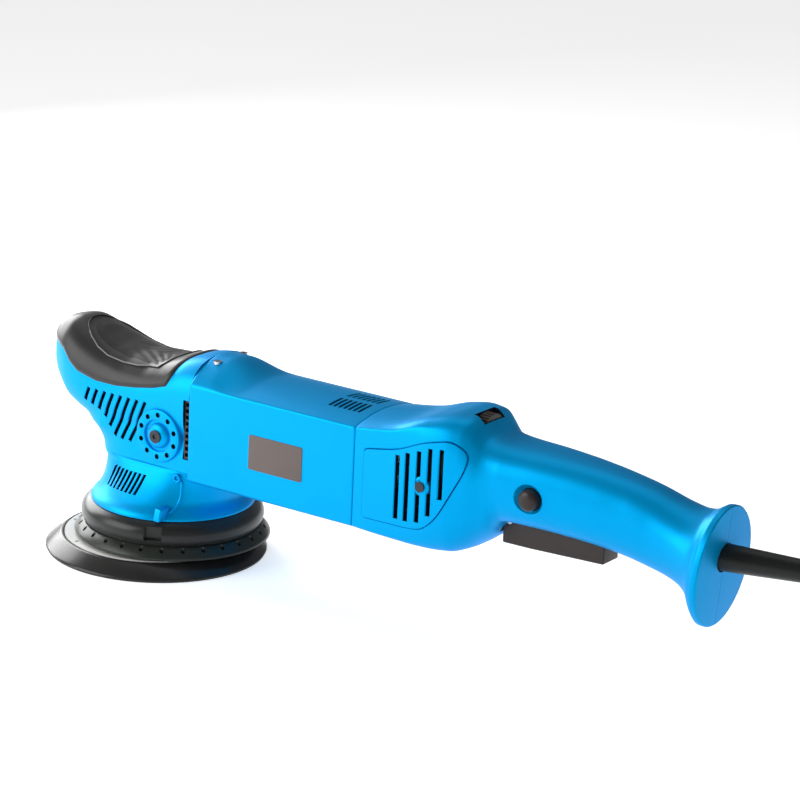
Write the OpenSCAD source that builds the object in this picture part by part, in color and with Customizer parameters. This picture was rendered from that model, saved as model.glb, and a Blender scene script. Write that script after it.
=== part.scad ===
// Long-body dual action polisher with a 21 mm orbit.
// Origin: the spindle axis at the backing plate's working face. +X runs to the handle, +Z is up.

/* [Backing plate] */
// Diameter of the backing plate
plate_d = 150; // [125:1:180]
// Distance between the spindle axis and the plate's axis, half of the orbit
orbit_offset = 10.5; // [4:0.5:12]
// Thickness of the hook face
hook_t = 1.6; // [1:0.1:3]
// Thickness of the soft rim above the hook face
rim_t = 8.4; // [6:0.2:12]
// How much narrower the rim is at its top than at its edge
rim_slope = 10.5; // [6:0.5:16]
// Thickness of the stiff core
core_t = 2.2; // [1.6:0.1:4]
// Diameter of the plate bolt
bolt_d = 8; // [6:0.5:10]

/* [Head] */
// Diameter of the skirt's bottom edge
skirt_d = 110.4; // [104:0.2:124]
// Height of the skirt's bottom edge above the plate face
skirt_z = 36.5; // [34:0.5:42]
// Height of the seam between the skirt and the head cover
cover_z = 68; // [64:1:72]
// How far the nose of the head reaches in front of the spindle axis
nose_reach = 96.5; // [88:0.5:118]
// Wall of the head's plastic covers
head_wall = 2.6; // [2:0.1:3.4]
// How far the rubber grip stands proud of the cover
grip_proud = 1.6; // [1:0.1:3]
// Diameter of the round boss caps
boss_d = 36; // [30:0.5:43]
// Diameter of the rubber bumper ring
bumper_d = 123.2; // [120:0.2:150]
// Diameter of the guard ring
guard_d = 132.2; // [127:0.2:160]
// Number of holes in the guard ring
guard_holes = 28; // [16:1:40]

/* [Motor body] */
// Width of the motor housing
body_w = 68; // [66:0.5:84]
// Height of the motor axis above the plate face
motor_z = 96; // [95:0.5:99]
// Top of the crown of the housing above the plate face
body_top = 134.5; // [132:0.5:138]
// Bottom of the housing above the plate face
body_bottom = 59; // [57:0.5:62]
// Length of the motor housing
body_len = 133.5; // [130:0.5:162]
// Wall of the motor housing and of the handle shells
body_wall = 2.8; // [2:0.1:3.4]

/* [Handle] */
// Length from the housing's rear seam to the end flange
handle_len = 250.5; // [245:0.5:305]
// Diameter of the lock-on button
button_d = 15.4; // [12:0.2:19]
// Travel of the lock-on button
button_travel = 3; // [2:0.5:4]
// Width of the trigger paddle
trigger_w = 17.5; // [16:0.5:26]
// How far the trigger swings, in degrees
trigger_swing = 6; // [3:0.5:7]
// Diameter of the speed wheel
dial_d = 26; // [24:0.5:27]
// Diameter of the cord sleeve at the flange
sleeve_d = 17.3; // [15:0.1:19]
// Length of the cord sleeve outside the flange
sleeve_len = 60; // [40:1:60]

/* [Drive] */
// Pitch radius of the spindle's bevel gear
gear_r = 24; // [20:0.5:24.5]
// Teeth of the bevel gear
gear_teeth = 30; // [24:1:36]
// Teeth of the pinion
pinion_teeth = 10; // [8:1:12]
// Diameter of the spindle
spindle_d = 15; // [12:0.5:17]
// Diameter of the armature shaft
shaft_d = 10; // [8:0.5:10]
// Diameter of the armature core
core_d = 40; // [32:0.5:44]
// Outer diameter of the stator
stator_d = 60; // [54:0.5:61]

/* [Clearances] */
// Radial clearance of a shaft in its bearing
run_gap = 0.03; // [0.01:0.01:0.09]
// Clearance between pieces that move past each other
move_gap = 0.4; // [0.3:0.05:0.8]
// Air gap between the armature and the stator
air_gap = 0.7; // [0.4:0.1:1]

/* [Cord] */
// Diameter of the mains cord
cord_d = 8; // [7:0.5:9]
// Diameter of the plug's pins
pin_d = 4.8; // [4:0.1:5]
// Distance between the plug's pins
pin_pitch = 19; // [17:0.5:20]

/* [Hidden] */
$fn = 72;

// Directions and stations along the tool
crank_angle = 214;
pad_x = orbit_offset * cos(crank_angle);
pad_y = orbit_offset * sin(crank_angle);
seam_x = 38;
rear_x = seam_x + body_len;
end_x = rear_x + handle_len;
body_half = body_w / 2;
corner_z = body_top - 5.5;
shoulder_top = body_top + 9.5;
screw_top = shoulder_top - 1.2;
edge_z = body_bottom + 3.8;

// Stack of the plate and the head, from the plate face up
core_z = hook_t + rim_t - 1.4;
core_top = core_z + core_t;
guard_z = core_top + 1.6;
guard_top = guard_z + 8;
hub_z = guard_z + 5;
pocket_z = hub_z + 17.5;
spindle_end = pocket_z + 1;
hub_top = spindle_end + 14;
plate_r = plate_d / 2;
core_r = plate_r - 13;
bumper_r = bumper_d / 2;
guard_r = guard_d / 2;
skirt_r = skirt_d / 2;

// Drive train
pinion_r = gear_r * pinion_teeth / gear_teeth;
spindle_r = spindle_d / 2;
shaft_r = shaft_d / 2;
gearbox_r = gear_r + 2;
screw_r = gearbox_r + 2.6;
cover_flange_z = 58;
lower_bearing_z = 63;
top_bearing_z = motor_z + 13;
front_bearing_x = 31;
fan_x = 47;
stator_x = seam_x + 40;
stator_len = 56;
commutator_x = stator_x + stator_len + 18;
rear_bearing_x = rear_x + 4.5;

// Controls in the handle
pivot_x = rear_x + 102.5;
pivot_z = 84;
trigger_end = rear_x + 172;
plunger_x = rear_x + 128.5;
switch_z = 94;
switch_half = trigger_w / 2 - 2 - move_gap;
slot_top = 91 + (trigger_end - pivot_x) * sin(trigger_swing);
button_x = rear_x + 126.5;
button_z = 107.5;
dial_x = rear_x + 78;
dial_z = 147.5 - dial_d / 2;
dial_half = 3.5;
sleeve_x = end_x - 4;
sleeve_z = 93;
sleeve_yaw = 11.5;

// Stations of the nose form: [x, lowest z, highest z, half width, squareness]
nose_tip = -nose_reach;
nose_stations = [
    [nose_tip, 119, 135, 6, 2],
    [nose_tip + 2.5, 112, 140.5, 12, 2.2],
    [nose_tip + 7.5, 103.5, 144.6, 19, 2.4],
    [nose_tip + 14.5, 96.5, 147, 24, 2.5],
    [nose_tip + 23, 90, 147.4, 28, 2.6],
    [-62, 85.5, 143.2, 30.5, 2.6],
    [-50, 82, 138.8, 31.5, 2.7],
    [-36, 80, 134.8, 32, 2.8],
    [-22, 80, 132.4, 32.3, 2.9],
    [-8, 80, 132.3, 32.6, 3],
    [4, 80, 134.2, 32.8, 3.1],
    [16, 80, 137.8, 33, 3.1],
    [26, 80, 141.4, 33.4, 3],
    [seam_x, 80, 143.4, 33.8, 2.8]];

// Stations of the column under the nose: [z, centre x, half length forwards, half width, squareness]
column_stations = [
    [cover_z, -6, 40.5, 33, 3],
    [78, -6.5, 42, 32.8, 3],
    [88, -8.5, 45, 32.4, 3],
    [100, -9, 46.5, 31.8, 3]];

// Stations of the skirt: [z, centre x, half length, half width, squareness]
skirt_stations = [
    [skirt_z, 0, skirt_r, skirt_r, 2],
    [skirt_z + 2.5, 0, skirt_r - 0.8, skirt_r - 0.8, 2],
    [skirt_z + 7.5, 0, skirt_r - 4.9, skirt_r - 5.4, 2],
    [50, 1, 48.5, 45, 2.1],
    [57, 2, 48, 40, 2.3],
    [cover_z - 4, 3, 48.5, 36, 2.6],
    [cover_z, 3.5, 50, 34, 3]];

// Stations of the handle form: [x, lowest z, highest z, half width, squareness, lean]
handle_stations = [
    [rear_x, body_bottom, body_top, body_half, 7, 0],
    [rear_x + 28, 57.8, 138.2, body_half + 0.5, 7, 0],
    [rear_x + 52, 57, 145, body_half + 0.8, 5.5, 0],
    [rear_x + 68, 57.8, 148, body_half, 4.5, 0],
    [rear_x + 76, 60.5, 147.8, body_half - 1.2, 4, 0],
    [rear_x + 81, 63, 144.6, body_half - 2, 3.5, 0],
    [rear_x + 85, 66, 140.6, body_half - 2.8, 3.2, 0],
    [rear_x + 90, 69.5, 136.8, 30, 3, 0],
    [rear_x + 95, 74, 135.6, 29, 3, 0],
    [rear_x + 99, 80, 135.2, 28.4, 2.9, 0],
    [rear_x + 104, 84, 134.9, 28, 2.8, 0],
    [rear_x + 128, 84.2, 134.4, 26.2, 2.7, 0],
    [rear_x + 148, 83.6, 133.5, 24.6, 2.6, 0],
    [rear_x + 168, 82.4, 131.8, 23.2, 2.5, 0],
    [rear_x + 190, 79.8, 128.8, 22.2, 2.4, 0],
    [end_x - 46, 77, 126, 22.2, 2.3, 0],
    [end_x - 31, 73.7, 121.7, 23.4, 2.2, 0.4],
    [end_x - 20, 69.3, 119.8, 25.6, 2.1, 0.7],
    [end_x - 12, 61.5, 121.2, 28.4, 2, 1],
    [end_x - 7.5, 52, 124, 30.8, 2, 1],
    [end_x - 5, 48.8, 125.6, 31.8, 2, 1],
    [end_x - 1, 48.8, 125.6, 31.8, 2, 1],
    [end_x, 49.8, 124.6, 30.8, 2, 1]];
lean_slope = 0.0875;

// Outline of a vent cover: [x from the rear seam, z]
vent_outline = [[8, 116.6], [34, 121.5], [53, 130], [72, 134.5], [84, 128], [81.5, 116.5],
    [64, 83], [53, 73.2], [41, 72.4], [8, 71.8]];
// Vent slots of a vent cover: [x from the rear seam, lowest z, highest z]
vent_slots = [[34, 77, 118], [41.5, 77, 121], [50.1, 78, 124], [58.3, 84, 127.5], [66.5, 96.5, 128.5]];
vent_screw = [52, 101.5];

// Screw bosses inside the handle: [x from the rear seam, z]
handle_bosses = [[20, 70], [97, 125.5], [180.5, 120], [180.5, 91], [228, 109]];

// Free cord: the stretch from the sleeve to the coil, and the tail from the coil to the plug
sleeve_tip = [sleeve_x + sleeve_len * cos(sleeve_yaw), sleeve_len * sin(sleeve_yaw), sleeve_z];
cord_route = [[478, 12, 93], [492, 15, 92.4], [507, 18, 90.2], [521, 20.5, 86], [535, 23, 79.6],
    [548, 25, 71.2], [560, 26.5, 61.4], [572, 28, 50.7], [584, 29, 40], [596, 29.5, 30], [608, 30, 21],
    [621, 30, 13.5], [635, 30, 8], [650, 30, 5], [666, 30, 4], [681, 30, 4], [695, 30, 4]];
tail_route = [[695, -80, 24.8], [681, -80.4, 24.4], [668, -81.5, 22.6], [656, -83, 19.4],
    [644, -84.4, 15.8], [632, -85, 13.6], [620, -85, 13]];
coil_x = 695;
coil_y = -27;
coil_r = 45;
coil_half = 16;
coil_h = 28.8;
plug_x = 620;
plug_y = -85;
plug_z = 13;
plug_len = 36;
pin_len = 19;
plug_root = 8;

// Signed power, for rounded-box rings
function spow(v, p) = sign(v) * pow(abs(v), p);

// Ring across X: a rounded box from the lowest to the highest z, grown by g on every side
function x_ring(s, g, n) = [for (i = [0:n - 1]) let (a = 360 * i / n, mid = (s[1] + s[2]) / 2,
    y = (s[3] + g) * spow(cos(a), 2 / s[4]), z = mid + ((s[2] - s[1]) / 2 + g) * spow(sin(a), 2 / s[4]),
    lean = s[5] == undef ? 0 : s[5])
    [s[0] + lean * lean_slope * (z - 87), y, z]];

// Ring across Z: a rounded box about a centre on the X axis, grown by g
function z_ring(s, g, n) = [for (i = [0:n - 1]) let (a = 360 * i / n)
    [s[1] + (s[2] + g) * spow(cos(a), 2 / s[4]), (s[3] + g) * spow(sin(a), 2 / s[4]), s[0]]];

// Ring across Z with a rounded front and a square rear that ends at x = rear
function bullet_ring(s, rear, g, n) = [for (i = [0:n - 1]) let (a = 360 * i / n, back = cos(a) > 0,
    reach = back ? rear - s[1] : s[2] + g, p = 2 / (back ? 14 : s[4]))
    [s[1] + reach * spow(cos(a), p), (s[3] + g) * spow(sin(a), p), s[0]]];

// Closed solid through rings of equal point count that turn left about the way they run
module loft(rings) {
    n = len(rings[0]);
    m = len(rings);
    polyhedron(
        points = [for (r = rings) each r],
        faces = concat(
            [[for (i = [0:n - 1]) i]],
            [[for (i = [n - 1:-1:0]) (m - 1) * n + i]],
            [for (j = [0:m - 2], i = [0:n - 1]) [j * n + i, (j + 1) * n + i, (j + 1) * n + (i + 1) % n]],
            [for (j = [0:m - 2], i = [0:n - 1]) [j * n + i, (j + 1) * n + (i + 1) % n, j * n + (i + 1) % n]]),
        convexity = 10);
}

function unit(v) = v / norm(v);
function heading(path, i) = unit(path[min(i + 1, len(path) - 1)] - path[max(i - 1, 0)]);

// Round tube along a path, with rings square to it
module tube(path, r, sides) {
    loft([for (i = [0:len(path) - 1]) let (h = heading(path, i), u = unit(cross([0, 0, 1], h)),
        v = cross(h, u)) [for (k = [0:sides - 1]) path[i] + r * (cos(360 * k / sides) * u
        + sin(360 * k / sides) * v)]]);
}

// Cylinder along X, from x0 to x1, on the motor axis
module x_cyl(x0, x1, r) {
    translate([x0, 0, motor_z]) rotate([0, 90, 0]) cylinder(h = x1 - x0, r = r);
}

// Cylinder across the tool, from y0 to y1
module y_cyl(x, z, y0, y1, r) {
    translate([x, y0, z]) rotate([-90, 0, 0]) cylinder(h = y1 - y0, r = r);
}

// Upright ring between two heights
module ring(z0, z1, r_out, r_in) {
    difference() {
        translate([0, 0, z0]) cylinder(h = z1 - z0, r = r_out);
        translate([0, 0, z0 - 1]) cylinder(h = z1 - z0 + 2, r = r_in);
    }
}

// Ring along X on the motor axis
module x_tube(x0, x1, r_out, r_in) {
    difference() {
        x_cyl(x0, x1, r_out);
        x_cyl(x0 - 1, x1 + 1, r_in);
    }
}

// Places a piece on the plate's own axis
module on_plate() {
    translate([pad_x, pad_y, 0]) children();
}

// Mirrors a piece to both sides of the tool
module both_sides() {
    children();
    mirror([0, 1, 0]) children();
}

// Full form of the nose and of the column under it, grown by g
module nose_form(g) {
    shift = [for (i = [0:len(nose_stations) - 1]) let (s = nose_stations[i],
        end = i == len(nose_stations) - 1 ? max(-g, 0) : 0) [s[0] - (i < 5 ? g : 0) + end, s[1] - g,
        s[2] + g, s[3], s[4]]];
    loft([for (s = shift) x_ring([s[0], s[1], s[2], s[3] + g, s[4]], 0, 40)]);
}

module column_form(g) {
    rear = seam_x + (g < 0 ? 1 : 0);
    loft([for (i = [0:len(column_stations) - 1]) let (s = column_stations[i])
        bullet_ring([i == 0 ? s[0] + min(g, 0) : s[0], s[1], s[2], s[3], s[4]], rear, g, 40)]);
}

module head_form(g) {
    nose_form(g);
    column_form(g);
}

// Side view of the region that the rubber grip covers, cut right through the head
module grip_region() {
    translate([0, 60, 0]) rotate([90, 0, 0]) linear_extrude(120)
        polygon([[nose_tip - 10, 137], [nose_tip + 6, 134], [-75, 129.5], [-68, 123], [-60, 118.2],
            [-43, 115], [-26, 115], [-10, 117], [6, 120], [17, 123.5], [20, 131], [23, 146],
            [23, 162], [nose_tip - 10, 162]]);
}

// Cross-section of the motor body, with its crown and its shallow bottom curve
module body_section(top, inset) {
    half = body_half - inset;
    rise = top - corner_z;
    crown_r = (body_half * body_half + rise * rise) / (2 * rise);
    drop = edge_z - body_bottom;
    keel_r = (body_half * body_half + drop * drop) / (2 * drop);
    intersection() {
        translate([-half, 0]) square([2 * half, 200]);
        translate([0, top - crown_r]) circle(r = crown_r - inset, $fn = 120);
        translate([0, body_bottom + keel_r]) circle(r = keel_r - inset, $fn = 360);
    }
}

module body_slice(x0, x1, top, inset) {
    translate([x0, 0, 0]) rotate([90, 0, 90]) linear_extrude(x1 - x0) body_section(top, inset);
}

// Motor body with its raised shoulder, shrunk by inset
module body_form(x0, x1, inset) {
    body_slice(x0, x1, body_top, inset);
    hull() {
        body_slice(x0, seam_x + 19, shoulder_top, inset);
        body_slice(seam_x + 39, seam_x + 40, body_top, inset);
    }
}

// Full form of the handle and its end flange, grown by g
module handle_form(g) {
    last = len(handle_stations) - 1;
    loft([for (i = [0:last]) let (s = handle_stations[i], cut = i == last ? g : 0)
        x_ring([s[0] + cut, s[1], s[2], s[3], s[4], s[5]], g, 44)]);
}

module vent_shape(grow) {
    translate([0, 60, 0]) rotate([90, 0, 0]) linear_extrude(120)
        offset(delta = grow) polygon([for (p = vent_outline) [rear_x + p[0], p[1]]]);
}

// Head: the upper cover, from the nose to the first seam
module head_cover() {
    slot_len = [9.5, 11.5, 14, 18, 24, 30, 31, 31];
    color([0.05, 0.55, 0.9]) difference() {
        head_form(0);
        head_form(-head_wall);
        grip_region();
        both_sides() y_cyl(13, 89.3, 25, 45, boss_d / 2 + 0.1);
        both_sides() translate([33, 29, 77]) cube([10, 10, 41]);
        for (i = [0:7], side = [-1, 1])
            translate([-49.2 + 7.02 * i, side * 34, 109]) rotate([0, 23, 0])
                translate([-1.1, -6, -slot_len[i]]) cube([2.2, 12, slot_len[i]]);
    }
}

// Head: the lower skirt, down to the bumper
module neck_skirt() {
    color([0.05, 0.5, 0.85]) difference() {
        loft([for (s = skirt_stations) z_ring(s, 0, 48)]);
        loft([for (s = skirt_stations) z_ring([s[0] + (s[0] > 60 ? 1 : -1), s[1], s[2], s[3], s[4]],
            -head_wall, 48)]);
        body_slice(seam_x - 0.3, seam_x + 60, body_top, -0.2);
        for (i = [0:7], side = [-1, 1])
            translate([-22 + 3.9 * i, side * 40, 49]) translate([-0.9, -16, 0]) cube([1.9, 32, 12]);
    }
}

module grip_cap() {
    color([0.16, 0.16, 0.16]) difference() {
        intersection() {
            nose_form(grip_proud);
            grip_region();
        }
        nose_form(-head_wall);
    }
}

// Raised pad let into the top of the grip
module grip_pad() {
    color([0.08, 0.08, 0.08]) intersection() {
        difference() {
            nose_form(grip_proud + 1.4);
            nose_form(grip_proud);
        }
        translate([0, 0, 110]) linear_extrude(60) hull() {
            translate([-62, 0]) circle(r = 22, $fn = 32);
            translate([-8, 0]) circle(r = 15, $fn = 32);
        }
    }
}

// Vented boss cap on the side of the head
module boss_cap(side) {
    color([0.05, 0.6, 0.95]) difference() {
        union() {
            y_cyl(13, 89.3, side * 32 - 3, side * 32 + 3, boss_d / 2);
            y_cyl(13, 89.3, side * 34 - 2.2, side * 34 + 2.2, 10);
        }
        for (i = [0:9]) rotate_about_boss(36 * i + 18)
            y_cyl(13 + boss_d / 2 - 3.7, 89.3, side * 40 - 20, side * 40 + 20, 1.4);
        y_cyl(13, 89.3, side * 40 - 20, side * 40 + 20, 2.5);
    }
}

module rotate_about_boss(a) {
    translate([13, 0, 89.3]) rotate([0, a, 0]) translate([-13, 0, -89.3]) children();
}

module boss_cap_left() { boss_cap(-1); }
module boss_cap_right() { boss_cap(1); }

module boss_screws() {
    color("silver") both_sides() difference() {
        union() {
            y_cyl(13, 89.3, 28, 37, 2.5);
            y_cyl(13, 89.3, 36.2, 37.8, 4.4);
        }
        translate([13, 37, 89.3]) rotate([-90, 0, 0]) cylinder(h = 2, r = 1.8, $fn = 6);
    }
}

module head_screws() {
    color("silver") both_sides() translate([seam_x + 7, 13.7, 0]) difference() {
        union() {
            translate([0, 0, screw_top - 2.4]) cylinder(h = 2.4, r = 3);
            translate([0, 0, screw_top - 11]) cylinder(h = 9, r = 1.8);
        }
        translate([0, 0, screw_top - 1.2]) cylinder(h = 2, r = 1.4, $fn = 6);
    }
}

// Dark grilles that let the fan's air out at the first seam
module exhaust_grilles() {
    color([0.05, 0.05, 0.05]) both_sides() difference() {
        translate([33.2, 29.4, 77.3]) cube([seam_x - 33.4, 2.6, 40.4]);
        for (i = [0:8]) translate([34.2, 28, 79 + 4.3 * i]) cube([2.6, 6, 2.6]);
    }
}

// Rubber ring that fends off bodywork, with a window on one side
module bumper_ring() {
    color([0.15, 0.15, 0.15]) difference() {
        rotate_extrude() intersection() {
            translate([bumper_r - 9.4, guard_top + 6.8]) circle(r = 9.4);
            translate([skirt_r - 6, guard_top]) square([20, skirt_z - guard_top]);
        }
        rotate([0, 0, -60]) translate([bumper_r - 4.5, -6, skirt_z - 12]) cube([10, 12, 9]);
    }
}

module guard_ring() {
    color([0.13, 0.13, 0.13]) difference() {
        rotate_extrude() polygon([[skirt_r - 9, guard_top - 2], [guard_r - 7.8, guard_top - 2],
            [guard_r - 2.6, guard_z + 0.2], [guard_r - 0.8, guard_z], [guard_r, guard_z + 1.2],
            [guard_r - 0.8, guard_z + 2.8], [guard_r - 6, guard_top], [skirt_r - 9, guard_top]]);
        for (i = [0:guard_holes - 1]) rotate([0, 0, (i + 0.5) * 360 / guard_holes])
            translate([guard_r - 4.2, 0, guard_z - 2]) cylinder(h = 14, r = 1.5);
    }
}

module motor_housing() {
    color([0.05, 0.55, 0.95]) difference() {
        body_form(seam_x, rear_x, 0);
        body_form(seam_x - 1, rear_x + 1, body_wall);
        both_sides() translate([seam_x + 7, 13.7, 120]) cylinder(h = 40, r = 1.8);
        both_sides() translate([seam_x + 7, 13.7, screw_top - 2.4]) cylinder(h = 10, r = 3);
        for (i = [0:6], side = [-1, 1])
            translate([rear_x - 33 + 3.8 * i, side * 10 - 7, body_top - 8]) cube([1.8, 14, 12]);
    }
}

module rating_plates() {
    color([0.42, 0.38, 0.36]) both_sides()
        translate([seam_x + 50, body_half, 83]) cube([43, 0.5, 23.5]);
}

// One half of the clamshell that makes the rear body and the handle; side is -1 or 1
module handle_shell(side) {
    difference() {
        union() {
            difference() {
                handle_form(0);
                handle_form(-body_wall);
                translate([rear_x - 1, -body_half + body_wall, body_bottom + body_wall + 6])
                    cube([body_wall + 2, body_w - 2 * body_wall, 60]);
            }
            for (b = handle_bosses) y_cyl(rear_x + b[0], b[1], side * 11 - 11, side * 11 + 11, 4);
            y_cyl(pivot_x, pivot_z + 1, side * 18 - 5, side * 18 + 5, 5);
        }
        translate([-100, side > 0 ? -200 : 0, -100]) cube([800, 200, 400]);
        for (b = handle_bosses) y_cyl(rear_x + b[0], b[1], side < 0 ? -14 : -50, 50, 1.6);
        for (b = handle_bosses) y_cyl(rear_x + b[0], b[1], 19, 60, 3.2);
        y_cyl(pivot_x, pivot_z, -24, 24, 2);
        translate([pivot_x - 6.5, -trigger_w / 2 - move_gap, 60])
            cube([trigger_end - pivot_x + 7.9, trigger_w + 2 * move_gap, slot_top - 60]);
        y_cyl(button_x, button_z, -60, -10, button_d / 2 + move_gap);
        y_cyl(button_x, button_z, -60, -25.6, button_d / 2 + 3);
        translate([dial_x - dial_half - 0.8, -11.3, dial_z + 5]) cube([2 * dial_half + 1.6, 22.6, 30]);
        translate([sleeve_x, 0, sleeve_z]) rotate([0, 90, sleeve_yaw])
            translate([0, 0, -8]) cylinder(h = 30, r = sleeve_d / 2 + 0.6);
        vent_shape(0.25);
    }
}

module handle_shell_left() { color([0.05, 0.55, 0.9]) handle_shell(-1); }
module handle_shell_right() { color([0.05, 0.52, 0.88]) handle_shell(1); }

// Removable panel over the air inlets; side is -1 or 1
module vent_cover(side) {
    color([0.05, 0.6, 0.95]) difference() {
        intersection() {
            handle_form(0.8);
            vent_shape(0);
        }
        handle_form(-body_wall);
        translate([0, side > 0 ? -300 : -20, 0]) cube([500, 320, 300]);
        for (s = vent_slots) translate([rear_x + s[0] - 1.5, side * (body_half + 1) - 12, s[1]])
            cube([3, 24, s[2] - s[1]]);
        y_cyl(rear_x + vent_screw[0], vent_screw[1], -60, 60, 5);
    }
    color([0.05, 0.6, 0.95]) difference() {
        y_cyl(rear_x + vent_screw[0], vent_screw[1], side * (body_half - 0.5) - 1.5, side * (body_half - 0.5) + 1.5, 5);
        y_cyl(rear_x + vent_screw[0], vent_screw[1], -60, 60, 2);
    }
}

module vent_cover_left() { vent_cover(-1); }
module vent_cover_right() { vent_cover(1); }

module vent_cover_screws() {
    color("silver") both_sides() {
        y_cyl(rear_x + vent_screw[0], vent_screw[1], body_half - 8, body_half + 1, 2);
        y_cyl(rear_x + vent_screw[0], vent_screw[1], body_half + 1, body_half + 2.4, 3.4);
    }
}

module handle_screws() {
    color("silver") for (b = handle_bosses) {
        y_cyl(rear_x + b[0], b[1], -14, 19, 1.6);
        y_cyl(rear_x + b[0], b[1], 19, 21, 3);
    }
}

// Rubber sleeve that keeps the cord from kinking where it leaves the flange
module strain_relief() {
    r = sleeve_d / 2;
    tip = sleeve_len - 2;
    color([0.1, 0.11, 0.1]) translate([sleeve_x, 0, sleeve_z]) rotate([0, 90, sleeve_yaw])
        rotate_extrude() polygon([[cord_d / 2, -14], [r + 2.5, -14], [r + 2.5, -9], [r, -9],
            [r - 1.6, tip - 6], [r - 2.6, tip], [cord_d / 2, tip + 2]]);
}

module power_cord() {
    color([0.07, 0.07, 0.07]) {
        tube(concat([sleeve_tip], [for (i = [1:len(cord_route) - 1]) cord_route[i]]), cord_d / 2, 10);
        tube(tail_route, cord_d / 2, 10);
    }
}

module cord_coil() {
    corner = 5;
    color([0.07, 0.07, 0.07]) translate([coil_x, coil_y, 0]) rotate_extrude() {
        translate([coil_r - coil_half, corner]) square([2 * coil_half, coil_h - 2 * corner]);
        translate([coil_r - coil_half + corner, 0]) square([2 * (coil_half - corner), coil_h]);
        for (i = [-1, 1], z = [corner, coil_h - corner])
            translate([coil_r + i * (coil_half - corner), z]) circle(r = corner);
    }
}

// Strap that holds the coil's turns together
module coil_tie() {
    band = 1.2;
    color([0.12, 0.12, 0.12]) translate([coil_x + coil_r, coil_y, 0]) difference() {
        translate([-coil_half - band, -6, 0]) cube([2 * (coil_half + band), 12, coil_h + band]);
        translate([-coil_half, -7, band]) cube([2 * coil_half, 14, coil_h - band]);
    }
}

// Two-pin mains plug, lying on its side face
module mains_plug() {
    wide = 17.5;
    thick = 13;
    color([0.08, 0.08, 0.08]) translate([plug_x, plug_y, plug_z]) rotate([0, -90, 0]) {
        difference() {
            loft([for (s = [[0, 5.5, 5.5], [8, 6.5, 6.5], [13, 9, 14], [20, thick - 1, wide],
                [plug_len - 3, thick, wide], [plug_len, thick - 0.6, wide - 0.6]])
                z_ring([s[0], 0, s[1], s[2], 3.2], 0, 32)]);
            for (i = [-1, 1]) translate([0, i * pin_pitch / 2, plug_len - plug_root])
                cylinder(h = plug_root + 2, r = pin_d / 2 - 0.4);
        }
    }
}

module plug_pins() {
    color([0.8, 0.75, 0.6]) for (i = [-1, 1])
        translate([plug_x - plug_len - pin_len, plug_y + i * pin_pitch / 2, plug_z]) rotate([0, 90, 0]) {
            cylinder(h = pin_len, r = pin_d / 2);
            translate([0, 0, pin_len]) cylinder(h = plug_root, r = pin_d / 2 - 0.4);
        }
}

// Die-cast gearbox: an upright cup for the gear and a barrel for the pinion
module gearbox_casting() {
    wall = 2.5;
    top = top_bearing_z + 9;
    color([0.75, 0.76, 0.78]) difference() {
        union() {
            translate([0, 0, cover_flange_z + 4]) cylinder(h = motor_z + 6 - cover_flange_z,
                r = gearbox_r + wall);
            for (a = [45:90:315]) rotate([0, 0, a]) translate([screw_r, 0, cover_flange_z + 5.5])
                cylinder(h = 16.5, r = 4);
            translate([0, 0, motor_z + 9]) cylinder(h = top - motor_z - 9, r = 14);
            x_cyl(8, seam_x + 3, 17);
            x_cyl(seam_x - 5, seam_x - 1, 28);
        }
        translate([0, 0, cover_flange_z]) cylinder(h = motor_z + 8 - cover_flange_z, r = gearbox_r);
        translate([0, 0, top_bearing_z]) cylinder(h = 7.5, r = 9);
        translate([0, 0, motor_z]) cylinder(h = top_bearing_z - motor_z + 0.5, r = spindle_r + 0.8);
        x_cyl(12, front_bearing_x + 1, pinion_r + 3.6);
        x_cyl(front_bearing_x, seam_x + 4, 13);
        for (a = [45:90:315]) rotate([0, 0, a]) translate([screw_r, 0, cover_flange_z])
            cylinder(h = 18, r = 1.8);
    }
}

// Plate that closes the gearbox and carries the lower spindle bearing
module gearbox_cover() {
    color([0.7, 0.71, 0.73]) difference() {
        union() {
            translate([0, 0, cover_flange_z]) cylinder(h = 4, r = gearbox_r + 4.4);
            translate([0, 0, hub_top + 2]) cylinder(h = lower_bearing_z + 9 - hub_top - 2, r = 18.5);
        }
        translate([0, 0, hub_top]) cylinder(h = 40, r = spindle_r + 1);
        translate([0, 0, lower_bearing_z]) cylinder(h = 10, r = 16);
        for (a = [45:90:315]) rotate([0, 0, a]) translate([screw_r, 0, cover_flange_z - 1])
            cylinder(h = 8, r = 1.8);
        for (a = [45:90:315]) rotate([0, 0, a]) translate([screw_r, 0, cover_flange_z - 1])
            cylinder(h = 2, r = 3.4);
    }
}

module gearbox_screws() {
    color("silver") for (a = [45:90:315]) rotate([0, 0, a]) translate([screw_r, 0, 0]) {
        translate([0, 0, cover_flange_z + 1]) cylinder(h = 16, r = 1.8);
        translate([0, 0, cover_flange_z - 1.5]) cylinder(h = 2.5, r = 3.2);
    }
}

// Ball bearing with a groove between its races, along Z from the origin
module ball_bearing(r_out, r_in, h) {
    mid = (r_out + r_in) / 2;
    difference() {
        cylinder(h = h, r = r_out);
        translate([0, 0, -1]) cylinder(h = h + 2, r = r_in + run_gap);
        for (z = [-1, h - 0.5]) translate([0, 0, z]) difference() {
            cylinder(h = 1.5, r = mid + 1.6);
            translate([0, 0, -1]) cylinder(h = 4, r = mid - 1.6);
        }
    }
}

module spindle_bearings() {
    color("lightgrey") {
        translate([0, 0, lower_bearing_z]) ball_bearing(16, spindle_r, 9);
        translate([0, 0, top_bearing_z]) ball_bearing(9, 5, 7);
    }
}

module motor_bearings() {
    color("lightgrey") translate([0, 0, motor_z]) rotate([0, 90, 0]) {
        translate([0, 0, front_bearing_x]) ball_bearing(13, shaft_r, 8);
        translate([0, 0, rear_bearing_x]) ball_bearing(11, shaft_r - 1, 7);
    }
}

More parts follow.
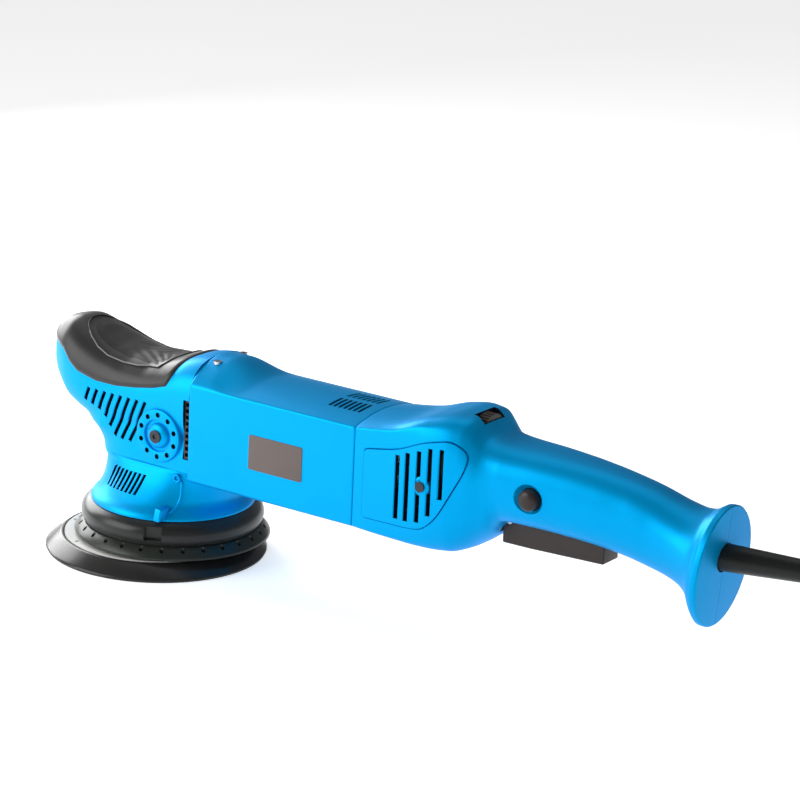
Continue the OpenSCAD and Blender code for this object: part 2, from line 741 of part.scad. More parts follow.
// Laminated stator with two flats that hold it in the housing
module stator_core() {
    color([0.4, 0.4, 0.42]) difference() {
        x_tube(stator_x, stator_x + stator_len, stator_d / 2, core_d / 2 + air_gap);
        for (side = [-1, 1]) translate([stator_x - 1, -40, motor_z + side * 36 - 8])
            cube([stator_len + 2, 80, 16]);
    }
}

// Field windings that stand out of both ends of the stator
module stator_windings() {
    color([0.72, 0.4, 0.18]) for (x = [stator_x - 8, stator_x + stator_len])
        translate([x, 0, motor_z]) rotate([0, 90, 0]) rotate_extrude() {
            translate([core_d / 2 + 2, 0]) square([5, 8]);
        }
}

// Plate that carries the brushes and the rear bearing
module brush_bracket() {
    color([0.2, 0.2, 0.2]) difference() {
        union() {
            x_cyl(rear_x - 3.5, rear_x + 1, 27);
            x_cyl(rear_x - 3.5, rear_bearing_x + 9, 14);
        }
        x_cyl(rear_x - 5, rear_bearing_x + 12, 9);
        x_cyl(rear_bearing_x, rear_bearing_x + 10, 11);
        both_sides() translate([rear_x - 5, 18, motor_z - 7]) cube([8, 6, 14]);
    }
}

module brush_holders() {
    x = commutator_x + 7;
    color([0.75, 0.62, 0.3]) both_sides() difference() {
        translate([x - 6, 14, motor_z - 7.5]) cube([12, 15, 15]);
        translate([x - 4, 10, motor_z - 5.5]) cube([8, 17, 11]);
    }
}

module carbon_brushes() {
    x = commutator_x + 7;
    color([0.12, 0.12, 0.13]) both_sides()
        translate([x - 3.9, 12 + move_gap, motor_z - 5.4]) cube([7.8, 13, 10.8]);
}

// Speed control module, with the fork that the speed wheel turns in
module speed_module() {
    color([0.15, 0.3, 0.2]) difference() {
        union() {
            translate([dial_x - 32, -15, 104]) cube([44, 30, 14]);
            for (side = [-1, 1]) translate([dial_x + side * 5.4 - 1, -4, 116])
                cube([2, 8, dial_z - 116 + 2.2]);
            translate([dial_x - 6, 0, dial_z]) rotate([0, 90, 0]) cylinder(h = 12, r = 2);
        }
    }
}

module switch_body() {
    color([0.1, 0.1, 0.12]) difference() {
        union() {
            translate([button_x - 14, -8, switch_z + 5]) cube([48, 16, 24]);
            translate([button_x - 14, -switch_half, switch_z]) cube([48, 2 * switch_half, 6]);
        }
        translate([plunger_x, 0, switch_z - 1]) cylinder(h = 12, r = 3 + run_gap + 0.03);
    }
}

module trigger_pin() {
    color("silver") y_cyl(pivot_x, pivot_z, -22, 22, 2);
}

// Saddle that grips the cord inside the handle
module cord_clamp() {
    x = end_x - 37;
    color([0.13, 0.13, 0.13]) difference() {
        translate([x, -10.5, sleeve_z - 6.5]) cube([12, 21, 16]);
        translate([x - 1, 0, sleeve_z]) rotate([0, 90, 0]) cylinder(h = 14, r = cord_d / 2);
        for (y = [-8, 8]) translate([x + 6, y, sleeve_z - 10]) cylinder(h = 30, r = 1.4);
    }
}

// Coil spring along +Z from the origin
module spring(r, wire, h, turns) {
    steps = turns * 12;
    tube([for (i = [0:steps]) [r * cos(30 * i), r * sin(30 * i), wire + (h - 2 * wire) * i / steps]],
        wire, 6);
}

module button_spring() {
    color("silver") translate([button_x, -8.2, button_z]) rotate([90, 0, 0])
        spring(3.6, 0.4, 6.2 + button_travel, 4);
}

module trigger_spring() {
    color("silver") translate([trigger_end - 17, 0, 73.8]) spring(3.6, 0.45, switch_z - 73.9, 5);
}

module armature_shaft() {
    color([0.8, 0.8, 0.82]) {
        x_cyl(gear_r + 2.5, rear_bearing_x - 1, shaft_r);
        x_cyl(rear_bearing_x - 1, rear_bearing_x + 8, shaft_r - 1);
    }
}

// Laminated armature with its winding slots
module armature_core() {
    color([0.35, 0.35, 0.37]) difference() {
        x_tube(stator_x, stator_x + stator_len, core_d / 2, shaft_r);
        for (i = [0:11]) translate([0, 0, motor_z]) rotate([30 * i, 0, 0])
            translate([stator_x - 1, -1.2, core_d / 2 - 6]) cube([stator_len + 2, 2.4, 8]);
    }
}

module armature_windings() {
    color([0.75, 0.42, 0.2]) {
        x_tube(stator_x - 9, stator_x, core_d / 2 - 3, shaft_r);
        x_tube(stator_x + stator_len, stator_x + stator_len + 12, core_d / 2 - 3, shaft_r);
    }
}

module commutator() {
    color([0.78, 0.5, 0.3]) difference() {
        x_tube(commutator_x, commutator_x + 14, 12, shaft_r);
        for (i = [0:23]) translate([0, 0, motor_z]) rotate([15 * i, 0, 0])
            translate([commutator_x - 1, -0.3, 11.2]) cube([16, 0.6, 2]);
    }
}

// Fan that draws the air through the motor and out at the first seam
module cooling_fan() {
    color([0.15, 0.15, 0.16]) {
        x_tube(fan_x, fan_x + 2.5, 28, shaft_r);
        x_tube(fan_x, fan_x + 12, 9, shaft_r);
        for (i = [0:10]) translate([0, 0, motor_z]) rotate([360 * i / 11, 0, 0])
            translate([fan_x + 2, -0.8, 8.5]) cube([9, 1.6, 19]);
    }
}

// Straight bevel gear with its apex at the origin and its axis down Z; mate is the other pitch radius
module bevel(teeth, pitch, mate, turn, back, hub_r, hub_len) {
    cone = atan2(pitch, mate);
    modul = 2 * pitch / teeth;
    add = 0.75 * modul;
    ded = 1.15 * modul;
    step = 360 / teeth;
    half = 0.2 * step;
    slope = 0.36 * 180 / (PI * pitch);
    inner = 0.72;
    marks = [for (i = [0:teeth - 1]) each [
        [step * i - half - slope * ded, -ded], [step * i - half + slope * add, add],
        [step * i + half - slope * add, add], [step * i + half + slope * ded, -ded]]];
    large = [for (m = marks) let (r = pitch + m[1] * cos(cone), a = m[0] + turn)
        [r * cos(a), r * sin(a), -mate + m[1] * sin(cone)]];
    root = pitch - ded * cos(cone);
    root_z = -mate - ded * sin(cone);
    difference() {
        union() {
            loft([[for (m = marks) [root * cos(m[0] + turn), root * sin(m[0] + turn), root_z - back]],
                large, [for (p = large) inner * p],
                [for (m = marks) [0.9 * inner * root * cos(m[0] + turn),
                    0.9 * inner * root * sin(m[0] + turn), inner * root_z]]]);
            translate([0, 0, root_z - back - hub_len]) cylinder(h = hub_len + back, r = hub_r);
        }
        translate([0, 0, -60]) cylinder(h = 80, r = hub_r - 4.5);
    }
}

module bevel_gear() {
    color([0.6, 0.6, 0.62]) translate([0, 0, motor_z])
        bevel(gear_teeth, gear_r, pinion_r, 0, 3, spindle_r + 4.5, 8);
}

module drive_pinion() {
    color([0.62, 0.62, 0.64]) translate([0, 0, motor_z]) rotate([0, -90, 0]) difference() {
        bevel(pinion_teeth, pinion_r, gear_r, 180 / pinion_teeth * (pinion_teeth % 2 == 0 ? 1 : 0),
            1, shaft_r + 1.2, 4);
        translate([0, 0, -60]) cylinder(h = 60 - gear_r - 2.5, r = shaft_r);
    }
}

module spindle_shaft() {
    color([0.8, 0.8, 0.82]) {
        translate([0, 0, spindle_end]) cylinder(h = top_bearing_z - 1 - spindle_end, r = spindle_r);
        translate([0, 0, top_bearing_z - 1]) cylinder(h = 8, r = 5);
    }
}

// Hub on the spindle's end that carries the plate off centre, with its counterweight
module eccentric_hub() {
    weight_r = skirt_r - 12.5;
    color([0.55, 0.56, 0.58]) difference() {
        union() {
            translate([0, 0, spindle_end - 1]) cylinder(h = hub_top - spindle_end + 1, r = 20);
            on_plate() translate([0, 0, hub_z]) cylinder(h = hub_top - 6 - hub_z, r = 17);
            rotate([0, 0, crank_angle + 110]) translate([0, 0, hub_z + 5])
                rotate_extrude(angle = 140) translate([16, 0]) square([weight_r - 16, 14]);
        }
        translate([0, 0, spindle_end]) cylinder(h = 40, r = spindle_r);
        on_plate() translate([0, 0, hub_z - 1]) cylinder(h = pocket_z - hub_z + 1, r = 14);
    }
}

module pad_bearings() {
    color("lightgrey") on_plate() for (z = [hub_z + 0.5, hub_z + 9])
        translate([0, 0, z]) ball_bearing(14, 6, 8);
}

module pad_spindle() {
    color([0.8, 0.8, 0.82]) on_plate() difference() {
        union() {
            translate([0, 0, core_top]) cylinder(h = 3, r = 16);
            translate([0, 0, core_top + 3]) cylinder(h = pocket_z - core_top - 3.6, r = 6);
        }
        translate([0, 0, core_top - 1]) cylinder(h = 17, r = bolt_d / 2);
    }
}

module plate_core() {
    color([0.9, 0.9, 0.9]) on_plate() difference() {
        translate([0, 0, core_z]) cylinder(h = core_t, r = core_r);
        translate([0, 0, core_z - 1]) cylinder(h = core_t + 2, r = bolt_d / 2 + 0.2);
        for (i = [0:7]) rotate([0, 0, 45 * i + 19]) translate([core_r - 3.6, 0, core_z - 1])
            cylinder(h = core_t + 2, r = 1.6);
    }
}

module plate_rim() {
    top = hook_t + rim_t;
    color([0.12, 0.12, 0.12]) on_plate() rotate_extrude() polygon([[9, hook_t],
        [plate_r - 1, hook_t], [plate_r, hook_t + 1], [plate_r, hook_t + 2],
        [plate_r - rim_slope, top], [core_r, top], [core_r, core_z], [9, core_z]]);
}

module hook_face() {
    color([0.25, 0.25, 0.25]) on_plate() ring(0, hook_t, plate_r - 1, 7.5);
}

module plate_bolt() {
    color("silver") on_plate() difference() {
        union() {
            translate([0, 0, core_z - 1.2]) cylinder(h = 1.2, r = 8.4);
            translate([0, 0, core_z - 5.6]) cylinder(h = 4.4, r = 6.5);
            translate([0, 0, core_z - 2]) cylinder(h = 17, r = bolt_d / 2);
        }
        translate([0, 0, core_z - 6]) cylinder(h = 3.4, r = 3.4, $fn = 6);
    }
}

// Hollow paddle: a floor, two sides and the rib that lifts the plunger
module trigger_paddle() {
    half = trigger_w / 2;
    front = pivot_x - 4.6;
    color([0.24, 0.2, 0.18]) difference() {
        translate([0, half, 0]) rotate([90, 0, 0]) linear_extrude(trigger_w)
            polygon([[front, 69], [front + 26, 69.4], [trigger_end - 20, 70.6],
                [trigger_end, 71.4], [trigger_end, 89], [pivot_x + 30, 90], [front, 89]]);
        difference() {
            translate([pivot_x + 5, -half + 2, 73.6]) cube([trigger_end - pivot_x - 7, trigger_w - 4, 40]);
            translate([plunger_x - 4, -half, 70]) cube([8, trigger_w, 14.5]);
        }
        y_cyl(pivot_x, pivot_z, -half - 1, half + 1, 2 + run_gap);
    }
}

module switch_plunger() {
    color([0.85, 0.85, 0.8]) translate([plunger_x, 0, 84.9]) cylinder(h = 17, r = 3);
}

module lock_button() {
    color([0.24, 0.2, 0.18]) difference() {
        y_cyl(button_x, button_z, -28 - button_travel, -13.5 - button_travel, button_d / 2);
        y_cyl(button_x, button_z, -14.5 - button_travel, -10, 4.4);
    }
}

module speed_dial() {
    color([0.1, 0.1, 0.1]) difference() {
        translate([dial_x - dial_half, 0, dial_z]) rotate([0, 90, 0]) cylinder(h = 2 * dial_half, r = dial_d / 2);
        translate([dial_x - 6, 0, dial_z]) rotate([0, 90, 0]) cylinder(h = 12, r = 2 + run_gap + 0.02);
        for (i = [0:35]) translate([dial_x, 0, dial_z]) rotate([10 * i, 0, 0])
            translate([-5, -0.5, dial_d / 2 - 0.7]) cube([10, 1, 2]);
    }
}

head_cover();
neck_skirt();
grip_cap();
grip_pad();
boss_cap_left();
boss_cap_right();
boss_screws();
head_screws();
exhaust_grilles();
bumper_ring();
guard_ring();
motor_housing();
rating_plates();
handle_shell_left();
handle_shell_right();
vent_cover_left();
vent_cover_right();
vent_cover_screws();
handle_screws();
strain_relief();
power_cord();
cord_coil();
coil_tie();
mains_plug();
plug_pins();
gearbox_casting();
gearbox_cover();
gearbox_screws();
spindle_bearings();
motor_bearings();
stator_core();
stator_windings();
brush_bracket();
brush_holders();
carbon_brushes();
speed_module();
switch_body();
trigger_pin();
cord_clamp();
button_spring();
trigger_spring();
armature_shaft();
armature_core();
armature_windings();
commutator();
cooling_fan();
drive_pinion();
spindle_shaft();
bevel_gear();
eccentric_hub();
pad_bearings();
pad_spindle();
plate_core();
plate_rim();
hook_face();
plate_bolt();
trigger_paddle();
switch_plunger();
lock_button();
speed_dial();
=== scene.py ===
"""Looks of a corded dual action polisher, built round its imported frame.

Lengths in the sections are millimetres in the frame's axes: +X runs from the head to the
cord, -Y is the side with the lock button, +Z is up. as_mesh() writes them in metres.
"""

from math import cos, pi, radians, sin

import bmesh
import bpy
import numpy as np
from mathutils import Matrix, Vector


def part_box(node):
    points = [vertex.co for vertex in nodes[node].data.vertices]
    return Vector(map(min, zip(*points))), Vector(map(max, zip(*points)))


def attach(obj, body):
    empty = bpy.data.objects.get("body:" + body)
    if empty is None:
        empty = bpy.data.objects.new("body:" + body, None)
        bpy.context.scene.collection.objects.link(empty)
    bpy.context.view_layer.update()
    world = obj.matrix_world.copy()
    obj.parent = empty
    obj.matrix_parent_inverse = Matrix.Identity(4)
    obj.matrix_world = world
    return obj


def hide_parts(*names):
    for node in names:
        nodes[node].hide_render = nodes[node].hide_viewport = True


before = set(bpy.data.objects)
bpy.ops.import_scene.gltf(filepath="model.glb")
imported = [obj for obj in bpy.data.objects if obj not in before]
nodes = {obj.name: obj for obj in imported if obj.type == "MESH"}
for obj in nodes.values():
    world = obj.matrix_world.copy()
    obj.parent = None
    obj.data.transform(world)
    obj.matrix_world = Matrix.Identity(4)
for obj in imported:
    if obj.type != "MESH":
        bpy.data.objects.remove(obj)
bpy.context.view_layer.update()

# ------------------------------------------------
# Camera. A long lens from the lock button's side, a little above the tool and slightly
# rolled, as a maker's catalogue shows it.
azimuth, elevation, roll = radians(34.33), radians(16.75), radians(2.61)
back = Vector((sin(azimuth) * cos(elevation), -cos(azimuth) * cos(elevation), sin(elevation)))
level_right = Vector((cos(azimuth), sin(azimuth), 0))
level_up = back.cross(level_right)
right = cos(roll) * level_right + sin(roll) * level_up
up = cos(roll) * level_up - sin(roll) * level_right
camera = bpy.data.objects.new("camera", bpy.data.cameras.new("camera"))
camera.data.lens = 148.5
camera.data.clip_end = 60
camera.matrix_world = (Matrix.Translation((1.31333, -1.65761, 0.74562))
                       @ Matrix((right, up, back)).transposed().to_4x4())
bpy.context.scene.collection.objects.link(camera)
bpy.context.scene.camera = camera

# ------------------------------------------------
# Cord. 4.12 m of round rubber-sheathed mains lead, 8 mm thick. It leaves the tapered sleeve,
# falls to the ground in one bend and is wound there into a neat flat coil, with its tail
# laid off the top layer to the plug.
MM = 0.001
cord_diameter = 8.0
sleeve_root, sleeve_yaw, sleeve_length = np.array((418.0, 0, 93)), radians(11.5), 60.0
sleeve_way = np.array((cos(sleeve_yaw), sin(sleeve_yaw), 0))
sleeve_tip = sleeve_root + sleeve_length * sleeve_way
coil_centre = np.array((695.0, -27))
fall = [sleeve_tip, (492, 15, 92.4), (507, 18, 90.2), (521, 20.5, 86), (535, 23, 79.6),
        (548, 25, 71.2), (560, 26.5, 61.4), (572, 28, 50.7), (584, 29, 40), (596, 29.5, 30),
        (608, 30, 21), (621, 30, 13.5), (635, 30, 8), (650, 30, 5), (666, 30, 4), (681, 30, 4)]
tail = [(681, -80.4, 24.4), (668, -81.5, 22.6), (656, -83, 19.4), (644, -84.4, 15.8),
        (632, -85, 13.6), (620, -85, 13)]
turn_radii = (57, 49, 41, 33, 37, 45, 53, 57, 49, 41, 33, 37, 45, 53)
turn_heights = (4,) * 4 + (10.9,) * 3 + (17.9,) * 4 + (24.8,) * 3


def wound_turns(radii, heights, steps=40, shift=0.16):
    """Round turns, each at its own radius and height: radius and height pass from one turn
    to the next by the smooth step s*s*(3-2*s) over the last share of the turn. The turns
    run clockwise seen from above, from straight ahead of +Y, and end half a turn early."""
    place = np.arange(0, len(radii) - 0.5 + 1e-9, 1 / steps)
    turn = np.minimum(place.astype(int), len(radii) - 1)
    after = np.minimum(turn + 1, len(radii) - 1)
    step = np.clip((place - turn - 1 + shift) / shift, 0, 1)
    step = step * step * (3 - 2 * step)
    radii, heights = np.array(radii, float), np.array(heights, float)
    radius = radii[turn] + (radii[after] - radii[turn]) * step
    height = heights[turn] + (heights[after] - heights[turn]) * step
    angle = pi / 2 - 2 * pi * place
    return np.stack([coil_centre[0] + radius * np.cos(angle),
                     coil_centre[1] + radius * np.sin(angle), height], 1)


def smooth_path(points, spacing):
    """Centripetal Catmull-Rom curve through the points, resampled evenly by its length. In
    three rounds, neighbouring points are mixed in proportion to the knots beside them."""
    p = np.array(points, float)
    p = np.vstack([2 * p[0] - p[1], p, 2 * p[-1] - p[-2]])
    t = np.r_[0, np.cumsum(np.linalg.norm(np.diff(p, axis=0), axis=1) ** 0.5)]
    s = np.linspace(t[1], t[-2], 24 * len(p))
    k = np.clip(np.searchsorted(t, s, side="right") - 1, 1, len(p) - 3)
    u = s[:, None]
    t = [t[k + n][:, None] for n in (-1, 0, 1, 2)]
    mixed = [p[k + n] for n in (-1, 0, 1, 2)]
    for spans in (((0, 1), (1, 2), (2, 3)), ((0, 2), (1, 3)), ((1, 2),)):
        mixed = [((t[j] - u) * mixed[n] + (u - t[i]) * mixed[n + 1]) / (t[j] - t[i])
                 for n, (i, j) in enumerate(spans)]
    fine = mixed[0]
    run = np.r_[0, np.cumsum(np.linalg.norm(np.diff(fine, axis=0), axis=1))]
    even = np.linspace(0, run[-1], max(int(run[-1] / spacing), 2) + 1)
    return np.stack([np.interp(even, run, fine[:, n]) for n in range(3)], 1)


def tube_grid(path, radii, sides):
    """A round tube: a ring of the given radius about each point of the path, square to the
    path's direction there and kept upright by the vertical."""
    way = np.gradient(path, axis=0)
    way /= np.linalg.norm(way, axis=1)[:, None]
    side = np.cross(way, (0, 0, 1))
    side /= np.linalg.norm(side, axis=1)[:, None]
    over = np.cross(side, way)
    angle = np.linspace(0, 2 * pi, sides, endpoint=False)[None, :, None]
    radii = np.broadcast_to(radii, len(path))[:, None, None]
    return path[:, None] + radii * (np.cos(angle) * side[:, None] + np.sin(angle) * over[:, None])


def as_mesh(name, grids, ring=True, loop=False):
    """One mesh from grids of points in millimetres. Neighbouring rows and columns make the
    faces; a ring joins its last column to its first, a loop its last row to its first, and
    rows that aren't a loop are closed with an end face each. Faces are turned outwards."""
    corners, faces = [], []
    for grid in (grids if isinstance(grids, list) else [grids]):
        rows, columns = grid.shape[:2]
        start = sum(len(c) for c in corners)
        i, j = np.meshgrid(np.arange(rows - (not loop)), np.arange(columns - (not ring)),
                           indexing="ij")
        i2, j2 = (i + 1) % rows, (j + 1) % columns
        quads = np.stack([i * columns + j, i * columns + j2, i2 * columns + j2,
                          i2 * columns + j], -1).reshape(-1, 4) + start
        faces += quads.tolist()
        if ring and not loop:
            faces += [list(range(start, start + columns))[::-1],
                      list(range(start + (rows - 1) * columns, start + rows * columns))]
        corners.append(grid.reshape(-1, 3))
    mesh = bpy.data.meshes.new(name)
    mesh.from_pydata((np.concatenate(corners) * MM).tolist(), [], faces)
    shape = bmesh.new()
    shape.from_mesh(mesh)
    bmesh.ops.remove_doubles(shape, verts=shape.verts, dist=2e-6)
    bmesh.ops.recalc_face_normals(shape, faces=shape.faces)
    shape.to_mesh(mesh)
    shape.free()
    piece = bpy.data.objects.new(name, mesh)
    bpy.context.scene.collection.objects.link(piece)
    return piece


def dress(piece, material, stands_for=(), body="root", sharp=35):
    """Gives a finished piece its material and the body that it moves with, and
    shades it smooth except across edges sharper than the given angle."""
    if piece.data.materials:
        piece.data.materials[0] = material
    else:
        piece.data.materials.append(material)
    piece.data.shade_smooth()
    piece.data.set_sharp_from_angle(angle=radians(sharp))
    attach(piece, body)
    if stands_for:
        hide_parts(*stands_for)
    return piece


def screen(red, green, blue):
    """A colour given in 0-255 screen values, as the shader's linear one."""
    c = np.array((red, green, blue)) / 255
    linear = np.where(c <= 0.04045, c / 12.92, ((c + 0.055) / 1.055) ** 2.4)
    return (*linear.tolist(), 1.0)


def feed(tree, node, values):
    """Sets a node's sockets, each to a constant or to the output socket that feeds it."""
    for socket, value in values.items():
        if isinstance(value, bpy.types.NodeSocket):
            tree.links.new(value, node.inputs[socket])
        else:
            node.inputs[socket].default_value = value


def add_node(tree, kind, values=None, **settings):
    """One shader node: settings are its own options, values its sockets."""
    node = tree.nodes.new("ShaderNode" + kind)
    for option, value in settings.items():
        setattr(node, option, value)
    feed(tree, node, values or {})
    return node


def new_group(name, inputs, outputs):
    """An empty node group with the named sockets; returns it with its input and output."""
    group = bpy.data.node_groups.new(name, "ShaderNodeTree")
    for title, kind in inputs:
        group.interface.new_socket(title, in_out="INPUT", socket_type="NodeSocket" + kind)
    for title, kind in outputs:
        group.interface.new_socket(title, in_out="OUTPUT", socket_type="NodeSocket" + kind)
    return group, group.nodes.new("NodeGroupInput"), group.nodes.new("NodeGroupOutput")


def moulded_grain_group():
    """Moulded surface: a broad mottle shifts colour towards a second one, a middle noise
    varies the roughness, and a fine noise is the height of the mould's grain."""
    group, given, made = new_group(
        "moulded grain",
        [("Vector", "Vector"), ("Colour", "Color"), ("Second colour", "Color"),
         ("Mottle scale", "Float"), ("Roughness", "Float"), ("Roughness spread", "Float"),
         ("Grain scale", "Float")],
        [("Colour", "Color"), ("Roughness", "Float"), ("Height", "Float")])
    point = given.outputs["Vector"]
    mottle = add_node(group, "TexNoise", {"Vector": point, "Detail": 3.0,
                                          "Scale": given.outputs["Mottle scale"]})
    share = add_node(group, "MapRange", {"Value": mottle.outputs["Fac"], "From Min": 0.35,
                                         "From Max": 0.7})
    tint = add_node(group, "Mix", {"Factor": share.outputs["Result"],
                                   6: given.outputs["Colour"],
                                   7: given.outputs["Second colour"]}, data_type="RGBA")
    haze = add_node(group, "TexNoise", {"Vector": point, "Scale": 140.0, "Detail": 4.0})
    centred = add_node(group, "Math", {0: haze.outputs["Fac"], 1: 0.5}, operation="SUBTRACT")
    rough = add_node(group, "Math", {0: centred.outputs[0],
                                     1: given.outputs["Roughness spread"],
                                     2: given.outputs["Roughness"]}, operation="MULTIPLY_ADD")
    grain = add_node(group, "TexNoise", {"Vector": point, "Detail": 2.0,
                                         "Scale": given.outputs["Grain scale"]})
    feed(group, made, {"Colour": tint.outputs[2], "Roughness": rough.outputs[0],
                       "Height": grain.outputs["Fac"]})
    return group


moulded_grain = moulded_grain_group()


def moulded(name, colour, second, roughness, spread=0.1, mottle=18.0, grain=1400.0,
            depth=0.00003, strength=0.25, **sockets):
    """A material of the moulded grain, with the shader's own sockets set as given."""
    material = bpy.data.materials.new(name)
    material.use_nodes = True
    tree = material.node_tree
    shader = tree.nodes["Principled BSDF"]
    where = add_node(tree, "TexCoord")
    skin = add_node(tree, "Group", {
        "Vector": where.outputs["Object"], "Colour": screen(*colour),
        "Second colour": screen(*second), "Mottle scale": mottle, "Roughness": roughness,
        "Roughness spread": spread, "Grain scale": grain}, node_tree=moulded_grain)
    relief = add_node(tree, "Bump", {"Height": skin.outputs["Height"], "Strength": strength,
                                     "Distance": depth})
    feed(tree, shader, {"Base Color": skin.outputs["Colour"],
                        "Roughness": skin.outputs["Roughness"],
                        "Normal": relief.outputs["Normal"],
                        **{title.replace("_", " "): value for title, value in sockets.items()}})
    return material


def rubber(name, colour, second, roughness, **looks):
    """Moulded rubber or soft plastic, which shines less than hard plastic does."""
    return moulded(name, colour, second, roughness, Specular_IOR_Level=0.3, **looks)


sheath_rubber = rubber("cord rubber", (22, 25, 23), (15, 17, 16), 0.5, grain=900,
                       depth=0.00006, Sheen_Weight=0.1)
winding = wound_turns(turn_radii, turn_heights)
route = np.vstack([smooth_path([*fall, winding[0]], 3.0)[:-1], winding[:-1],
                   smooth_path([winding[-1], *tail], 3.0)])
cord = as_mesh("mains_lead", tube_grid(route, cord_diameter / 2, 16))
dress(cord, sheath_rubber, ("power_cord", "cord_coil"))

# ------------------------------------------------
# Mains plug. A rubber-moulded plug of 36 by 35 by 26 mm on the cord's end, with finger
# ridges on its back half and two plated round pins.


def smooth_rows(rows, count):
    """Stations resampled to count rows along their first three columns, with monotone cubic
    pieces (Fritsch and Carlson), so that no value runs past its stations."""
    rows = np.array(rows, float)
    t = np.r_[0, np.cumsum(np.linalg.norm(np.diff(rows[:, :3], axis=0), axis=1) + 1e-6)]
    h = np.diff(t)[:, None]
    d = np.diff(rows, axis=0) / h
    w1, w2 = 2 * h[1:] + h[:-1], h[1:] + 2 * h[:-1]
    level = d[:-1] * d[1:]
    rising = level > 0
    m = np.where(rising, (w1 + w2) * level / np.where(rising, w1 * d[1:] + w2 * d[:-1], 1), 0)
    m = np.vstack([d[:1], m, d[-1:]])
    s = np.linspace(0, t[-1], count)
    k = np.clip(np.searchsorted(t, s, side="right") - 1, 0, len(h) - 1)
    u = ((s - t[k]) / h[k, 0])[:, None]
    return ((2 * u**3 - 3 * u**2 + 1) * rows[k] + (u**3 - 2 * u**2 + u) * h[k] * m[k]
            + (3 * u**2 - 2 * u**3) * rows[k + 1] + (u**3 - u**2) * h[k] * m[k + 1])


def oval(angle, half_width, half_height, power):
    """Distance to a superellipse's edge in each direction: r = ((|cos|/w)^n + (|sin|/h)^n)
    ^(-1/n), an ellipse at n = 2 and nearly a box at n = 8."""
    return ((np.abs(np.cos(angle)) / half_width) ** power
            + (np.abs(np.sin(angle)) / half_height) ** power) ** (-1 / power)


def turned(profile, sides, centre=(0, 0, 0), axis=2):
    """A profile of (radius, height) turned about an axis through the centre."""
    profile = np.array(profile, float)
    angle = np.linspace(0, 2 * pi, sides, endpoint=False)
    radius, height = profile[:, :1], profile[:, 1:]
    parts = [radius * np.cos(angle), radius * np.sin(angle), height + 0 * angle]
    order = {2: (0, 1, 2), 1: (0, 2, 1), 0: (2, 0, 1)}[axis]
    return np.stack([parts[n] for n in order], -1) + np.array(centre, float)


def rolled(outline, low, high, roll, axis):
    """A flat-sided block: the outline carried along an axis from low to high, with its two
    rims rolled over by a quarter round of the given radius. Each point of the outline moves
    in along the mean of its two sides' normals."""
    p = np.array(outline, float)
    edge = np.roll(p, -1, 0) - p
    edge /= np.linalg.norm(edge, axis=1)[:, None]
    normal = np.stack([edge[:, 1], -edge[:, 0]], 1)
    if np.sum(p[:, 0] * np.roll(p[:, 1], -1) - p[:, 1] * np.roll(p[:, 0], -1)) < 0:
        normal = -normal
    mean = normal + np.roll(normal, 1, 0)
    mean /= np.maximum((mean * mean).sum(1, keepdims=True) / 2, 0.3)
    bow = np.linspace(0, pi / 2, 5)
    inset = np.r_[roll * (1 - np.sin(bow)), roll * (1 - np.cos(bow))]
    level = np.r_[low + roll * (1 - np.cos(bow)), high - roll * (1 - np.sin(bow))]
    ring = p[None] - inset[:, None, None] * mean[None]
    level = np.broadcast_to(level[:, None], ring.shape[:2])
    spots = {0: (level, ring[..., 0], ring[..., 1]), 1: (ring[..., 0], level, ring[..., 1]),
             2: (ring[..., 0], ring[..., 1], level)}[axis]
    return np.stack(spots, -1)


plug_place = np.array((620.0, -85, 13))
finger_ridge, ridge_pitch, ridge_middle, ridge_reach = 0.45, 3.2, -14, 6
plug_rows = smooth_rows([(-36.0, 15.6, 11.2, 3.2), (-35.2, 17.0, 12.4, 3.2),
                         (-33, 17.5, 12.9, 3.2), (-24, 17.5, 12.9, 3.2),
                         (-19, 16.2, 12.0, 3.0), (-9, 12.0, 9.6, 2.6), (-2, 7.2, 7.0, 2.2),
                         (0.0, 5.6, 5.6, 2.0)], 70)
around = np.linspace(0, 2 * pi, 72, endpoint=False)
plug_x = plug_rows[:, :1]
ridge = (finger_ridge * np.clip(np.sin(plug_x * 2 * pi / ridge_pitch), 0, 1)
         * (np.abs(plug_x - ridge_middle) < ridge_reach) * (np.abs(np.cos(around)) > 0.6))
plug_reach = oval(around, plug_rows[:, 1:2], plug_rows[:, 2:3], plug_rows[:, 3:4]) - ridge
plug = as_mesh("plug_body", np.stack([plug_place[0] + plug_x + 0 * around,
                                      plug_place[1] + plug_reach * np.cos(around),
                                      plug_place[2] + plug_reach * np.sin(around)], -1))
dress(plug, sheath_rubber, ("mains_plug",))

# ------------------------------------------------
# Floor and studio. A wide pale floor under four large soft lights. The two strongest stand in
# front on the left and low on the left, so that the tool's side is brighter than its roof.


def soft_light(name, place, aim, width, height, watts):
    """A rectangular softbox at a place, turned to face its aim."""
    lamp = bpy.data.lights.new(name, "AREA")
    lamp.shape, lamp.size, lamp.size_y, lamp.energy = "RECTANGLE", width, height, watts
    holder = bpy.data.objects.new(name, lamp)
    holder.matrix_world = (Matrix.Translation(place)
                           @ (Vector(aim) - Vector(place)).to_track_quat("-Z", "Y")
                           .to_matrix().to_4x4())
    bpy.context.scene.collection.objects.link(holder)


